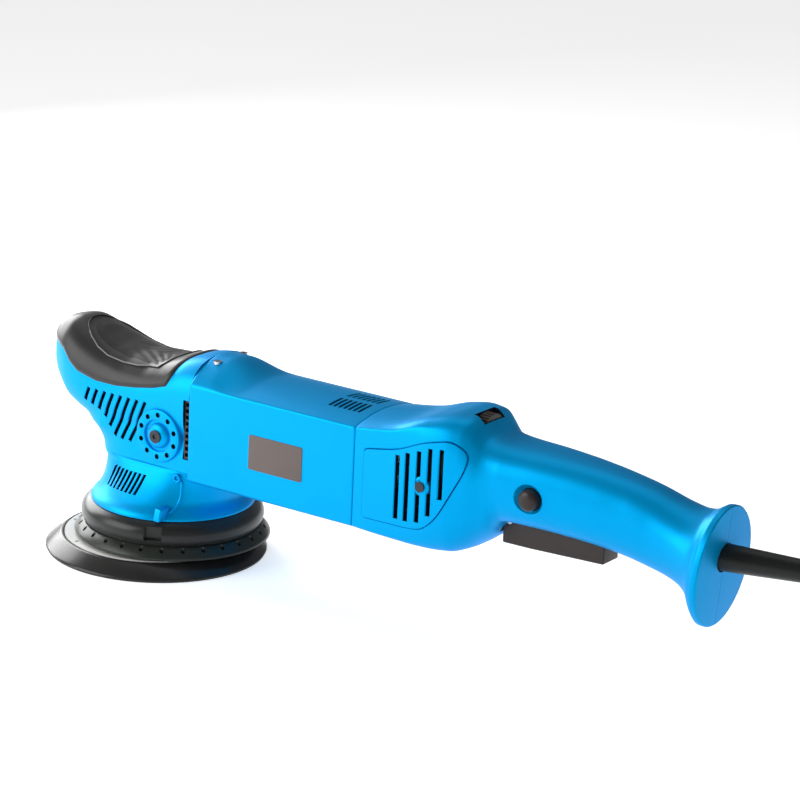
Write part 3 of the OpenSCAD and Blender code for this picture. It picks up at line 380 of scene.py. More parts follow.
soft_light("key", (-0.75, -1.1, 0.6), (0.05, 0, 0.09), 1.1, 0.9, 15)
soft_light("fill", (1.9, -1.5, 0.9), (0.25, 0, 0.09), 1.4, 1.4, 2)
soft_light("top", (0.1, 0.6, 2.2), (0.15, 0, 0.05), 2.4, 1.6, 9)
soft_light("side", (-1.0, 0.3, 0.5), (-0.05, 0, 0.03), 0.9, 0.7, 16)
studio = bpy.data.worlds.new("studio")
studio.use_nodes = True
studio.node_tree.nodes["Background"].inputs["Color"].default_value = (1, 1, 1, 1)
studio.node_tree.nodes["Background"].inputs["Strength"].default_value = 0.2
bpy.context.scene.world = studio
bpy.context.scene.view_settings.view_transform = "Standard"
span = np.linspace(-9000, 9000, 9)
floor = as_mesh("floor", np.stack([*np.meshgrid(span, span, indexing="ij"),
                                   np.zeros((9, 9))], -1), ring=False)
floor.data.materials.append(moulded("pale floor", (250, 250, 250), (246, 246, 246), 0.6,
                                    mottle=2.0, grain=200, depth=0.0002, strength=0.05,
                                    Emission_Color=(1, 1, 1, 1), Emission_Strength=0.6))
if floor.data.polygons[0].normal.z < 0:
    floor.data.flip_normals()

# ------------------------------------------------
# Head cover. The blue moulded nose that holds the gearbox: a bent pear with the neck's root
# under its chin, 2.6 mm thick, with eight slanted slots on each side and a window for the
# exhaust grille by the rear seam. Screwed to the motor housing from above.


def box_mm(name):
    """A frame part's lowest and highest corner, in millimetres."""
    return [np.array(corner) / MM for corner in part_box(name)]


seam_x, rear_x = (corner[0] for corner in box_mm("motor_housing"))
nose_tip = box_mm("head_cover")[0][0]
cover_z = box_mm("neck_skirt")[1][2]
head_wall = 2.6
nose_stations = [(nose_tip, 119, 135, 6, 2), (nose_tip + 2.5, 112, 140.5, 12, 2.2),
                 (nose_tip + 7.5, 103.5, 144.6, 19, 2.4), (nose_tip + 14.5, 96.5, 147, 24, 2.5),
                 (nose_tip + 23, 90, 147.4, 28, 2.6), (-62, 85.5, 143.2, 30.5, 2.6),
                 (-50, 82, 138.8, 31.5, 2.7), (-36, 80, 134.8, 32, 2.8),
                 (-22, 80, 132.4, 32.3, 2.9), (-8, 80, 132.3, 32.6, 3),
                 (4, 80, 134.2, 32.8, 3.1), (16, 80, 137.8, 33, 3.1), (26, 80, 141.4, 33.4, 3),
                 (38, 80, 143.4, 33.8, 2.8), (60, 80, 144, 33.8, 2.8)]
column_stations = [(40, -6, 40.5, 33, 3), (68, -6, 40.5, 33, 3), (78, -6.5, 42, 32.8, 3),
                   (88, -8.5, 45, 32.4, 3), (100, -9, 46.5, 31.8, 3)]
nose_rows = np.array([(x, (lo + hi) / 2, ((hi - lo) / 2) ** 2, w * w, n)
                      for x, lo, hi, w, n in nose_stations])
nose_rows = np.vstack([[nose_tip - 0.8, 127, 0.01, 0.01, 2], nose_rows])
nose_table = smooth_rows(nose_rows * (1, 1, 0.02, 0.02, 1), 900) * (1, 1, 50, 50, 1)
column_table = smooth_rows(column_stations, 200)


def head_depth(p, chin=13.0):
    """How far outside the head's skin each point lies, in about millimetres. It is a smooth
    union of two solids: the nose, whose section at each X is a superellipse with its middle,
    squared half height, squared half width and power taken from the table, and the neck's
    root, whose plan at each Z is a superellipse with a square back. The two are blended over
    the chin's width under the nose and hardly at all along the sides."""
    x, y, z = np.moveaxis(p, -1, 0)
    mid, high2, wide2, power = (np.interp(x, nose_table[:, 0], nose_table[:, n])
                                for n in (1, 2, 3, 4))
    high, wide = np.sqrt(high2), np.sqrt(wide2)
    nose = (np.abs(y / wide) ** power + np.abs((z - mid) / high) ** power) ** (1 / power) - 1
    nose = nose * np.minimum(high, wide)
    centre, long, broad, plan = (np.interp(z, column_table[:, 0], column_table[:, n])
                                 for n in (1, 2, 3, 4))
    plan = np.where(x > centre, 14, plan)
    long = np.where(x > centre, 80, long)
    root = (np.abs((x - centre) / long) ** plan + np.abs(y / broad) ** plan) ** (1 / plan) - 1
    root = np.where(z > 99.5, 99, root * broad + 3.2 * np.clip((z - 76) / 23, 0, 1) ** 2)
    blend = 0.6 + (chin - 0.6) * np.clip((-16 - x) / 24, 0, 1) * np.clip((99 - z) / 14, 0, 1)
    close = np.clip(blend - np.abs(nose - root), 0, None) / blend
    return np.minimum(nose, root) - close * close * blend / 4


def cast_skin(depth, centre, directions, grow, reach=150.0):
    """The points where rays from the centre cross the skin: the ray's length is halved in
    on, 26 times, from inside and outside, until depth equals grow."""
    inside, outside = np.zeros(directions.shape[:-1]), np.full(directions.shape[:-1], reach)
    for _ in range(26):
        middle = (inside + outside) / 2
        out = depth(centre + middle[..., None] * directions) > grow
        inside, outside = np.where(out, inside, middle), np.where(out, middle, outside)
    return centre + inside[..., None] * directions


def ball_directions(rows, columns, pole):
    """Unit directions over a ball, in rings about its pole from end to end."""
    pole = np.array(pole) / np.linalg.norm(pole)
    side = np.array((0, 1.0, 0))
    over = np.cross(pole, side)
    fall, turn = np.meshgrid(np.linspace(1e-4, pi - 1e-4, rows),
                             np.linspace(0, 2 * pi, columns, endpoint=False), indexing="ij")
    return (np.cos(fall)[..., None] * pole + (np.sin(fall) * np.cos(turn))[..., None] * side
            + (np.sin(fall) * np.sin(turn))[..., None] * over)


def block(low, high):
    """A plain box between two corners, used only to cut with."""
    low, high = np.array(low, float), np.array(high, float)
    ring = np.array([(0, 0), (1, 0), (1, 1), (0, 1)], float)
    flat = low[:2] + ring * (high - low)[:2]
    return np.stack([np.c_[flat, np.full(4, low[2])], np.c_[flat, np.full(4, high[2])]])


blue_shell = moulded("blue shell", (0, 163, 226), (0, 155, 220), 0.4, spread=0.06, mottle=6,
                     grain=2200, depth=0.00002, strength=0.12, Metallic=0.45,
                     Specular_IOR_Level=0.35, Specular_Tint=screen(0, 180, 255))
# Painted shade: a dark navy for the shell's inner walls and slot walls, which are the same blue
# moulding but lie in shade.
painted_inner_shade = moulded("painted inner shade", (3, 26, 48), (2, 18, 36), 0.6, Specular_IOR_Level=0.2)


def cut(piece, how, *grids, painted_shade=None):
    """Cuts the piece with solids given as grids: DIFFERENCE, INTERSECT or UNION. Where the
    last keyword is "all", the cut faces get a dark navy painted shade in place of the shell's
    blue, for the shade inside it; where it is "slots", only a slot's straight walls do, not its
    opened mouth."""
    tool = grids[0] if isinstance(grids[0], bpy.types.Object) else as_mesh("cutter", list(grids))
    if painted_shade:
        for material in (blue_shell, painted_inner_shade):
            tool.data.materials.append(material)
        if not piece.data.materials:
            piece.data.materials.append(blue_shell)
        # Faces marked 1 take the dark painted shade, faces marked 0 keep the blue.
        inside = np.ones(len(tool.data.polygons), int)
        if painted_shade == "slots":
            inside = np.concatenate([np.r_[np.tile((0, 1, 1, 1, 0, 0), len(grid) - 1), 1, 1]
                                     for grid in grids])
        tool.data.polygons.foreach_set("material_index", inside.astype(np.int32))
    change = piece.modifiers.new("cut", "BOOLEAN")
    change.operation, change.solver, change.object = how, "MANIFOLD", tool
    change.material_mode = "TRANSFER"
    shown = bpy.context.evaluated_depsgraph_get()
    result = bpy.data.meshes.new_from_object(piece.evaluated_get(shown))
    piece.modifiers.clear()
    piece.data = result
    bpy.data.objects.remove(tool)
    return piece


def slot_cutter(points, across, out, width, flare=0.45, depth=5.0, proud=1.2):
    """The solid that cuts one slot: a six-sided section carried along points on the skin,
    straight-walled below and opening at 45 degrees to the skin, with both ends opened the
    same way. across and out are unit directions over the skin and away from it."""
    points, out = np.array(points, float), np.broadcast_to(out, (len(points), 3))
    half, mouth = width / 2, width / 2 + flare + proud
    section = np.array([(-mouth, proud), (-half, -flare), (-half, -depth), (half, -depth),
                        (half, -flare), (mouth, proud)])
    grid = (points[:, None] + section[None, :, :1] * np.array(across)
            + section[None, :, 1:] * out[:, None])
    along = (points[-1] - points[0]) / np.linalg.norm(points[-1] - points[0])
    open_end = np.array([1, 0, 0, 0, 0, 1.0])[:, None] * (flare + proud) * along
    grid[0] -= open_end
    grid[-1] += open_end
    return grid


def skin_slot(spots, across, side, width, **shape):
    """A slot cutter along spots on the skin of one side, square to the skin there: away
    from it is the cross product of the way along the spots and the way across."""
    out = np.cross(np.gradient(spots, axis=0), across)
    out /= np.linalg.norm(out, axis=1)[:, None]
    out *= np.sign(out[:, 1:2]) * side
    return slot_cutter(spots, across, out, width, **shape)


head_centre = np.array((-10.0, 0, 100))
tip_way = (nose_tip + 10, 0, 27)
skin = cast_skin(head_depth, head_centre, ball_directions(190, 220, tip_way), 0)
inner = cast_skin(head_depth, head_centre, ball_directions(80, 90, tip_way), -head_wall)
head = as_mesh("head_shell", skin)
cut(head, "DIFFERENCE", inner, painted_shade="all")
cut(head, "INTERSECT", block((-120, -60, cover_z), (seam_x - 0.35, 60, 170)))
vent_tilt = radians(23)
vent_lengths = (9.5, 11.5, 14, 18, 24, 30, 31, 31)
vent_first, vent_top, vent_pitch = -49.2, 109.0, 7.02
vent_down = np.array((-sin(vent_tilt), 0, -cos(vent_tilt)))
vent_across = np.array((cos(vent_tilt), 0, -sin(vent_tilt)))
vents = []
for side in (-1, 1):
    for count, length in enumerate(vent_lengths):
        start = np.array((vent_first + vent_pitch * count, 0, vent_top))
        line = start + np.linspace(0, length, 14)[:, None] * vent_down
        ahead = np.broadcast_to((0, side, 0.0), line.shape)
        spots = cast_skin(head_depth, line, ahead, 0, 50)
        vents.append(skin_slot(spots, vent_across, side, 2.3, depth=9))
cut(head, "DIFFERENCE", *vents, painted_shade="slots")
grille_low, grille_high = box_mm("exhaust_grilles")
window_gap = 0.2
for side in (-1, 1):
    low, high = sorted((side * 27.0, side * 60.0))
    cut(head, "DIFFERENCE",
        block((grille_low[0] - window_gap, low, grille_low[2] - window_gap),
              (seam_x + 1, high, grille_high[2] + window_gap)), painted_shade="all")
dress(head, blue_shell, ("head_cover",))

# ------------------------------------------------
# Grip cap. A soft dark grey band moulded over the top of the nose, standing 1.6 mm proud
# with a rolled lower edge, and open behind where the shoulder rises.
grip_region = np.array([(nose_tip - 10, 137), (nose_tip + 6, 134), (-75, 129.5), (-68, 123),
                        (-60, 118.2), (-43, 115), (-26, 115), (-10, 117), (6, 120),
                        (17, 123.5), (20, 131), (23, 146), (23, 170), (nose_tip - 10, 170)],
                       float)
grip_proud, grip_sunk, grip_roll = 1.6, 0.25, 3.4


def region_depth(p, region):
    """Signed distance of each point's (X, Z) to a closed outline, positive inside."""
    spot = p[..., [0, 2]][..., None, :]
    a, b = region, np.roll(region, -1, 0)
    along = b - a
    share = np.clip(((spot - a) * along).sum(-1) / (along * along).sum(-1), 0, 1)
    gap = np.linalg.norm(spot - (a + share[..., None] * along), axis=-1).min(-1)
    x, z = spot[..., 0], spot[..., 1]
    crosses = (a[:, 1] > z) != (b[:, 1] > z)
    at = a[:, 0] + (z - a[:, 1]) * along[:, 0] / np.where(along[:, 1] == 0, 1e-9, along[:, 1])
    return np.where((crosses & (x < at)).sum(-1) % 2 == 1, gap, -gap)


def over_moulding(centre, inside, columns, rows, profile):
    """A sheet over the head's skin: round the centre, in each compass direction, the lowest
    slope that still meets the wanted area is found by halving, and the sheet's rows run from
    there up to the pole. profile gives the height over the skin from the distance to the
    rim; a second, inner sheet closes it underneath."""
    turn = np.linspace(0, 2 * pi, columns, endpoint=False)
    flat = np.stack([np.cos(turn), np.sin(turn), 0 * turn], -1)
    low, high = np.full(columns, radians(-35)), np.full(columns, radians(88))

    def way(rise):
        return flat * np.cos(rise)[..., None] + np.array((0, 0, 1.0)) * np.sin(rise)[..., None]

    for _ in range(20):
        middle = (low + high) / 2
        good = inside(cast_skin(head_depth, centre, way(middle), 0)) > 0
        low, high = np.where(good, low, middle), np.where(good, middle, high)
    share = np.linspace(0, 1, rows)[:, None] ** 1.6
    rise = high + (radians(89.9) - high) * share
    base = cast_skin(head_depth, centre, way(rise), 0)
    rim = np.linalg.norm(base - base[:1], axis=-1)
    step = 0.6
    a, b = np.gradient(base, axis=0), (np.roll(base, -1, 1) - np.roll(base, 1, 1)) / 2
    out = np.cross(b, a)
    length = np.linalg.norm(out, axis=-1, keepdims=True)
    out = np.where(length > 1e-9, out / np.maximum(length, 1e-9), (0, 0, 1.0))
    upper = base + profile(rim, base)[..., None] * out
    lower = base - step * out
    return np.concatenate([lower[:1], upper, lower[::-1][:-1]])


def cap_profile(rim, base):
    """Height of the cap: a quarter round over the first 3.4 mm from the rim."""
    share = np.clip(rim / grip_roll, 0, 1)
    return -grip_sunk + (grip_proud + grip_sunk) * np.sqrt(1 - (1 - share) ** 2)


cap_centre = np.array((-32.0, 0, 112))
cap = as_mesh("grip_band", over_moulding(cap_centre, lambda p: region_depth(p, grip_region),
                                         260, 60, cap_profile))
grip_rubber = rubber("grip rubber", (44, 43, 43), (36, 35, 35), 0.36, mottle=30, grain=1500,
                     depth=0.00005, strength=0.35, Sheen_Weight=0.15)
dress(cap, grip_rubber, ("grip_cap",), sharp=60)

# Grip pad. A near-black thumb pad let into the cap's saddle, with a raised lip along
# its rim and folds that fan out from its rear corner.
pad_line = np.array([(-86, 160), (-76.5, 149.6), (-70.6, 146.1), (-64.6, 142.1),
                     (-58.7, 138.5), (-49.7, 133.9), (-39.5, 130.3), (-25.1, 128.1),
                     (-12.2, 128.1), (5, 130.5), (9.1, 134.8), (9, 160)], float)


def pad_profile(rim, base):
    """Height of the pad: a lip of 0.9 mm over the cap at 1.6 mm from the rim, a shallow
    channel behind it and a crowned field with faint folds fanning from the rear corner."""
    lip = 1.3 * np.exp(-((rim - 0.9) / 0.55) ** 2)
    channel = -0.6 * np.exp(-((rim - 2.4) / 0.9) ** 2)
    bearing = np.arctan2(np.abs(base[..., 1]) - 34, base[..., 0] - 22)
    folds = (0.2 * np.sin(bearing * 46) * np.clip((rim - 3) / 6, 0, 1)
             * np.clip((base[..., 0] + 40) / 30, 0, 1))
    return grip_proud - 0.5 + lip + channel + folds + 0.9 * np.clip(rim / 12, 0, 1)


pad_rows = over_moulding(cap_centre, lambda p: region_depth(p, pad_line), 300, 90, pad_profile)
pad = as_mesh("thumb_pad", pad_rows)
pad_rubber = rubber("pad rubber", (14, 13, 13), (9, 9, 9), 0.55, mottle=40, grain=1800,
                    depth=0.00008, strength=0.5, Sheen_Weight=0.1)
dress(pad, pad_rubber, ("grip_pad",), sharp=60)

# Pad trim. A thin lighter bead set round the pad's rim, where the two rubbers meet.
trim_row, trim_radius = 8, 0.55
trim_path = pad_rows[trim_row]
trim_way = np.roll(trim_path, -1, 0) - np.roll(trim_path, 1, 0)
trim_way /= np.linalg.norm(trim_way, axis=1)[:, None]
trim_out = np.cross(trim_way, trim_path - cap_centre)
trim_out /= np.linalg.norm(trim_out, axis=1)[:, None]
trim_up = np.cross(trim_out, trim_way)
bead = np.linspace(0, 2 * pi, 10, endpoint=False)[None, :, None]
trim = as_mesh("pad_trim", trim_path[:, None] + trim_radius * (
    np.cos(bead) * trim_out[:, None] + np.sin(bead) * trim_up[:, None]), loop=True)
trim_rubber = moulded("trim rubber", (120, 120, 118), (104, 104, 102), 0.4)
dress(trim, trim_rubber, (), sharp=60)

# ------------------------------------------------
# Neck. The blue skirt under the head, flaring from a bullet plan at the seam to a round
# flange over the bumper ring, with eight low slots on each side.
skirt_stations = [(36.5, 0, 55.2, 55.2, 2), (37.2, 0, 55.2, 55.2, 2), (39, 0, 54.4, 54.4, 2),
                  (44, 0, 50.3, 49.8, 2), (50, 1, 48.5, 45, 2.1), (57, 2, 48, 40, 2.3),
                  (64, 3, 48.5, 36, 2.6), (67.2, 3.5, 50, 34.2, 3),
                  (cover_z - 0.15, 3.5, 49.6, 33.8, 3)]
skirt_rows = smooth_rows(skirt_stations, 60)


def skirt_grid(rows, grow, sides=200):
    """The skirt's plan at each height: a superellipse about the station's centre."""
    angle = np.linspace(0, 2 * pi, sides, endpoint=False)
    z, centre, long, broad, power = (rows[:, n:n + 1] for n in range(5))
    r = oval(angle, long + grow, broad + grow, power)
    return np.stack([centre + r * np.cos(angle), r * np.sin(angle), z + 0 * r], -1)


def round_box(low, high, radius, steps=6):
    """A rectangle's outline with quarter-round corners, as (K, 2) points."""
    turn = np.linspace(0, pi / 2, steps)
    corner = radius * np.stack([np.cos(turn), np.sin(turn)], 1)
    spots = []
    for (sx, sy), quarter in zip(((1, 1), (-1, 1), (-1, -1), (1, -1)), range(4)):
        c, s = cos(quarter * pi / 2), sin(quarter * pi / 2)
        bent = corner @ np.array([[c, s], [-s, c]])
        spots.append(np.array((high[0] - radius if sx > 0 else low[0] + radius,
                               high[1] - radius if sy > 0 else low[1] + radius)) + bent)
    return np.concatenate(spots)


neck = as_mesh("neck_shell", skirt_grid(skirt_rows, 0))
hollow = smooth_rows([(30, *skirt_stations[0][1:]), *skirt_stations[1:-1],
                      (80, *skirt_stations[-1][1:])], 40)
cut(neck, "DIFFERENCE", skirt_grid(hollow, -2.6, 90), painted_shade="all")
low_vents = []
low_first, low_pitch, low_top, low_foot, low_slant = -22, 3.9, 61, 49, 0.18
for side in (-1, 1):
    for count in range(8):
        x = low_first + low_pitch * count
        z = np.linspace(low_top, low_foot, 8)
        centre, long, broad, power = (np.interp(z, skirt_rows[:, 0], skirt_rows[:, n])
                                      for n in (1, 2, 3, 4))
        y = side * broad * (1 - np.abs((x - centre) / long) ** power) ** (1 / power)
        spots = np.stack([x - low_slant * (low_top - z), y, z], 1)
        low_vents.append(skin_slot(spots, (1.0, 0, 0), side, 1.9, flare=0.35))
cut(neck, "DIFFERENCE", *low_vents, painted_shade="slots")

# On each side of the neck stand a panel rib, a cord eyelet by the seam and a small square
# latch over the bumper ring, all moulded with it.
rib_line = [(29, 33.5, 64), (32.3, 32.3, 60.6), (33, 33.2, 54.7), (33.2, 35, 48.9),
            (31.9, 38.6, 44.1), (30, 43, 41.2)]
eyelet_profile = [(2.2 + 0.9 * cos(a), 0.9 * sin(a)) for a in np.arange(12) * 2 * pi / 12]
latch_low, latch_high, latch_lean = (24.6, 37.0), (30.0, 45.5), 2.0
side_names = {-1: "near", 1: "far"}
fittings = []
for side in (-1, 1):
    line = smooth_path(np.array(rib_line) * (1, side, 1), 1.0)
    fittings.append(tube_grid(line, np.full(len(line), 1.0), 16))
    eyelet = as_mesh("eyelet_" + side_names[side],
                     turned(eyelet_profile, 28, (29.6, side * 34.2, 63.4), axis=1), loop=True)
    dress(eyelet, blue_shell, ())
    latch = rolled(round_box(latch_low, latch_high, 1.2),
                   *sorted((side * 40.0, side * 50.4)), 0.8, 1)
    latch[..., 1] += (side * latch_lean * (latch_high[1] - latch[..., 2])
                      / (latch_high[1] - latch_low[1]))
    fittings.append(latch)
fitting = as_mesh("neck_fittings", fittings)
dress(fitting, blue_shell, ())
dress(neck, blue_shell, ("neck_skirt",))

# ------------------------------------------------
# Bearing caps. A round cap on each side of the head over the spindle gear's support: a
# domed hub in a groove, ten breathing holes round it and a socket screw in the middle.
cap_x, cap_z, cap_face = 13.0, 89.3, 35.0
hole_radius, hole_circle, hole_flare = 1.4, 14.3, 0.4
cap_profile_y = [(0, 37.0), (3, 36.9), (5.5, 36.5), (7.4, 35.7), (8.3, 34.8), (8.6, 33.2),
                 (10.8, 33.2), (11.1, 34.8), (11.6, cap_face), (16.6, cap_face),
                 (17.6, 34.7), (18, 34), (18, 30), (0, 30)]
hole_angles = radians(18) + np.arange(10) * radians(36)
for side, node in ((-1, "boss_cap_left"), (1, "boss_cap_right")):
    profile = np.array([(r + 0.01, side * y) for r, y in cap_profile_y])
    disc = as_mesh("bearing_cap_" + side_names[side],
                   turned(profile, 96, (cap_x, 0, cap_z), axis=1))
    inner_y, mouth_y, proud_y = (side * y for y in (31, cap_face - hole_flare,
                                                    cap_face + hole_flare))
    hole = [(0.01, inner_y), (hole_radius, inner_y), (hole_radius, mouth_y),
            (hole_radius + 2 * hole_flare, proud_y), (0.01, proud_y)]
    holes = [turned(hole, 20, (cap_x + hole_circle * cos(a), 0,
                               cap_z + hole_circle * sin(a)), axis=1) for a in hole_angles]
    cut(disc, "DIFFERENCE", *holes, painted_shade="all")
    dress(disc, blue_shell, (node,))

# ------------------------------------------------
# Motor housing. A blue tube of nearly square section with a crisp upper corner, a low arched
# roof that climbs to a shoulder at the head seam, and a small grille before the rear seam.
body_half, corner_z, edge_z, body_bottom = 34.0, 129.0, 62.8, 59.0
body_top, shoulder_top, body_wall = 134.5, 144.0, 2.8
climb_start, climb_length = 50, 29


def arch(y, half, springing, crown):
    """Height of the arc that spans from (half, springing) to the crown at y = 0: the circle
    through both, z = crown - R + sqrt(R^2 - y^2), R = (half^2 + s^2) / 2s for a rise s."""
    s = crown - springing
    s = np.where(np.abs(s) < 0.05, 0.05, s)
    radius = (half * half + s * s) / (2 * np.abs(s))
    return crown - np.sign(s) * (radius - np.sqrt(np.maximum(radius * radius - y * y, 0)))


def bent(start, corner, end, share):
    """Quadratic curve: (1-t)^2 start + 2t(1-t) corner + t^2 end, at each share t."""
    return (1 - share) ** 2 * start + 2 * share * (1 - share) * corner + share**2 * end


def housing_half(x, half, low, crown, upper, lower, knuckle=1.6):
    """Half a section at each x, from the crown down one side to the keel: an arched roof, a
    corner rounded by a quadratic curve over the knuckle's width, a flat side, a softer lower
    corner and an arched keel."""
    half, low, crown, upper, lower = (np.broadcast_to(v, x.shape)[:, None]
                                      for v in (half, low, crown, upper, lower))
    share = np.linspace(0, 1, 26)[None]
    roof_y = share * (half - knuckle)
    roof = np.stack([roof_y, arch(roof_y, half, upper, crown)], -1)
    bend = np.linspace(0, 1, 8)[None, 1:-1]
    side_top = upper - knuckle
    tip = roof[:, -1:]
    corner_y = bent(tip[..., 0], half, half, bend)
    corner_h = bent(tip[..., 1], upper, side_top, bend)
    drop = np.linspace(0, 1, 34)[None]
    side_foot = lower + 2.2
    side_h = side_top + drop * (side_foot - side_top)
    keel_tip = half - 3.2
    low_y = bent(half, half, keel_tip, bend)
    keel_share = np.linspace(1, 0, 18)[None]
    keel_y = keel_share * keel_tip
    keel_h = arch(keel_y, half, lower, low)
    low_h = bent(side_foot, lower, keel_h[:, :1], bend)
    return np.concatenate([
        roof, np.stack([corner_y, corner_h], -1),
        np.stack([half + 0 * side_h, side_h], -1), np.stack([low_y, low_h], -1),
        np.stack([keel_y, keel_h], -1)], 1)


def both_sides(x, half_section):
    """A whole ring at each x from half a section: the half, then its mirror image."""
    other = half_section[:, -2:0:-1] * (-1, 1)
    ring = np.concatenate([half_section, other], 1)
    return np.concatenate([np.broadcast_to(x[:, None, None], ring.shape[:2] + (1,)), ring], -1)


def housing_grid(grow, low_x, high_x, step=1.5, round_ends=0.0):
    """The housing's skin, moved out by grow; both end rims can be rolled in."""
    x = np.linspace(low_x, high_x, int((high_x - low_x) / step) + 2)
    inset = 0.0
    if round_ends:
        x = np.unique(np.r_[x, low_x + round_ends * np.array((0.3, 0.7)),
                            high_x - round_ends * np.array((0.3, 0.7))])
        near = np.clip(np.minimum(x - low_x, high_x - x) / round_ends, 0, 1)
        inset = round_ends * (1 - np.sqrt(1 - (1 - near) ** 2))
    climb = np.clip((x - climb_start) / climb_length, 0, 1)
    climb = climb * climb * (3 - 2 * climb)
    crown = shoulder_top + (body_top - shoulder_top) * climb
    g = grow - inset
    return both_sides(x, housing_half(x, body_half + g, body_bottom - g, crown + g,
                                      corner_z + g * 0.8, edge_z - g * 0.6))


housing = as_mesh("motor_shell", housing_grid(0, seam_x, rear_x - 0.25, round_ends=0.7))
cut(housing, "DIFFERENCE", housing_grid(-body_wall, seam_x - 5, rear_x + 5, step=6),
    painted_shade="all")
grille = []
grille_back, grille_pitch = 33, 3.8
for count in range(7):
    x = rear_x - grille_back + grille_pitch * count
    for side in (-1, 1):
        y = side * np.linspace(3, 17, 6)
        z = arch(y, body_half, corner_z, body_top)
        grille.append(slot_cutter(np.stack([x + 0 * y, y, z], 1), (1.0, 0, 0), (0, 0, 1.0),
                                  1.8, flare=0.4))
cut(housing, "DIFFERENCE", *grille, painted_shade="slots")
dress(housing, blue_shell, ("motor_housing",), sharp=40)

# Rating plates. A blank rounded plate let flush into each side of the housing, satin grey
# brown and held by adhesive.
plate_low, plate_high = box_mm("rating_plates")
label_outline = round_box(plate_low[[0, 2]], plate_high[[0, 2]], 1.6)
label_sunk, label_proud = 0.3, 0.45
label = as_mesh("blank_plates", [
    rolled(label_outline, *sorted((side * (body_half - label_sunk),
                                   side * (body_half + label_proud))), 0.3, 1)
    for side in (1, -1)])
label_finish = moulded("plate finish", (96, 85, 81), (88, 78, 74), 0.42, mottle=25,
                       grain=3000, depth=0.00002, strength=0.2, Metallic=0.15)
dress(label, label_finish, ("rating_plates",))

# ------------------------------------------------
# Handle shells. Two blue half shells, screwed together along the middle: a square front with
# a ridge that fades into the speed dial's hump, a round grip and an oval hand guard.
end_x, guard_lean, guard_middle = 422.0, 0.0875, 87
turn_start, turn_length = 6, 62
handle_stations = [(0, 59, 134.5, 34, 7, 0, 129), (28, 57.8, 138.2, 34.5, 7, 0, 133.6),
                   (52, 57, 145, 34.8, 5.5, 0, 143.5), (68, 57.8, 148, 34, 4.5, 0, 147),
                   (76, 60.5, 147.8, 32.8, 4, 0, 146.5), (81, 63, 144.6, 32, 3.5, 0, 143.5),
                   (85, 66, 140.6, 31.2, 3.2, 0, 139.5), (90, 69.5, 136.8, 30, 3, 0, 135.5),
                   (95, 74, 135.6, 29, 3, 0, 134.5), (99, 80, 135.2, 28.4, 2.9, 0, 134),
                   (104, 84, 134.9, 28, 2.8, 0, 134), (128, 84.2, 134.4, 26.2, 2.7, 0, 133),
                   (148, 83.6, 133.5, 24.6, 2.6, 0, 132), (168, 82.4, 131.8, 23.2, 2.5, 0, 131),
                   (190, 79.8, 128.8, 22.2, 2.4, 0, 128)]
guard_stations = [(46, 77, 126, 22.2, 2.3, 0, 125), (31, 73.7, 121.7, 23.4, 2.2, 0.4, 120),
                  (20, 69.3, 119.8, 25.6, 2.1, 0.7, 119), (12, 61.5, 121.2, 28.4, 2, 1, 120),
                  (7.5, 52, 124, 30.8, 2, 1, 123), (5, 48.8, 125.6, 31.8, 2, 1, 124),
                  (4.2, 48.3, 126.1, 32.3, 2, 1, 124), (1, 48.3, 126.1, 32.3, 2, 1, 124),
                  (0.2, 48.9, 125.5, 31.7, 2, 1, 124), (0, 49.8, 124.6, 30.8, 2, 1, 124)]
handle_rows = np.array([(rear_x + s[0], *s[1:]) for s in handle_stations]
                       + [(end_x - s[0], *s[1:]) for s in guard_stations])
handle_fine = smooth_rows(handle_rows, 230)


def handle_grid(grow, rows):
    """The handle's skin, moved out by grow. Near the seam a section is the housing's own,
    and over the next 62 mm it turns by a smooth step into the station's superellipse, each
    point keeping its direction from the section's middle. The guard's sections lean."""
    x, low, top, half, power, lean, ridge = (rows[:, n:n + 1] for n in range(7))
    low, top, half = low - grow, top + grow, half + grow
    square = housing_half(x[:, 0], half[:, 0], low[:, 0], top[:, 0],
                          np.minimum(ridge[:, 0] + 0.8 * grow, top[:, 0] - 0.2),
                          np.maximum(low[:, 0] + 3.8, edge_z - 0.6 * grow - 5))
    y, z = square[..., 0], square[..., 1]
    middle, tall = (top + low) / 2, (top - low) / 2
    direction = np.arctan2(z - middle, y)
    reach = oval(direction, half, tall, power)
    share = np.clip((x - rear_x - turn_start) / turn_length, 0, 1)
    share = share * share * (3 - 2 * share)
    y = (1 - share) * y + share * reach * np.cos(direction)
    z = (1 - share) * z + share * (middle + reach * np.sin(direction))
    y[:, 0] = y[:, -1] = 0
    grid = both_sides(x[:, 0], np.stack([y, z], -1))
    grid[..., 0] += lean * guard_lean * (grid[..., 2] - guard_middle)
    return grid


front = handle_fine.copy()
front[0, 0] += 0.25
shell = as_mesh("handle_whole", handle_grid(0, front))
inside_rows = handle_fine[(handle_fine[:, 0] < end_x - 9)].copy()
inside_rows[0, 0] -= 4
cut(shell, "DIFFERENCE", handle_grid(-body_wall, inside_rows[::3]), painted_shade="all")

# Its openings: the trigger's slot below, the dial's window above, the lock button's dished
# hole, the cord sleeve's hole, and on each side the recess that takes a vent cover.
trigger_half = box_mm("trigger_paddle")[1][1] + 0.5
dial_x, window_half = 249.5, (4.3, 11.3)
sleeve_hole = 9.3
button = np.array((298.0, 0, 107.5))
vent_outline = np.array([(8, 116.6), (34, 121.5), (53, 130), (72, 134.5), (84, 128),
                         (81.5, 116.5), (64, 83), (53, 73.2), (41, 72.4), (8, 71.8)], float)
vent_outline[:, 0] += rear_x
vent_corners = np.array((3, 8, 6, 6, 6, 5, 11, 6, 5, 3), float)


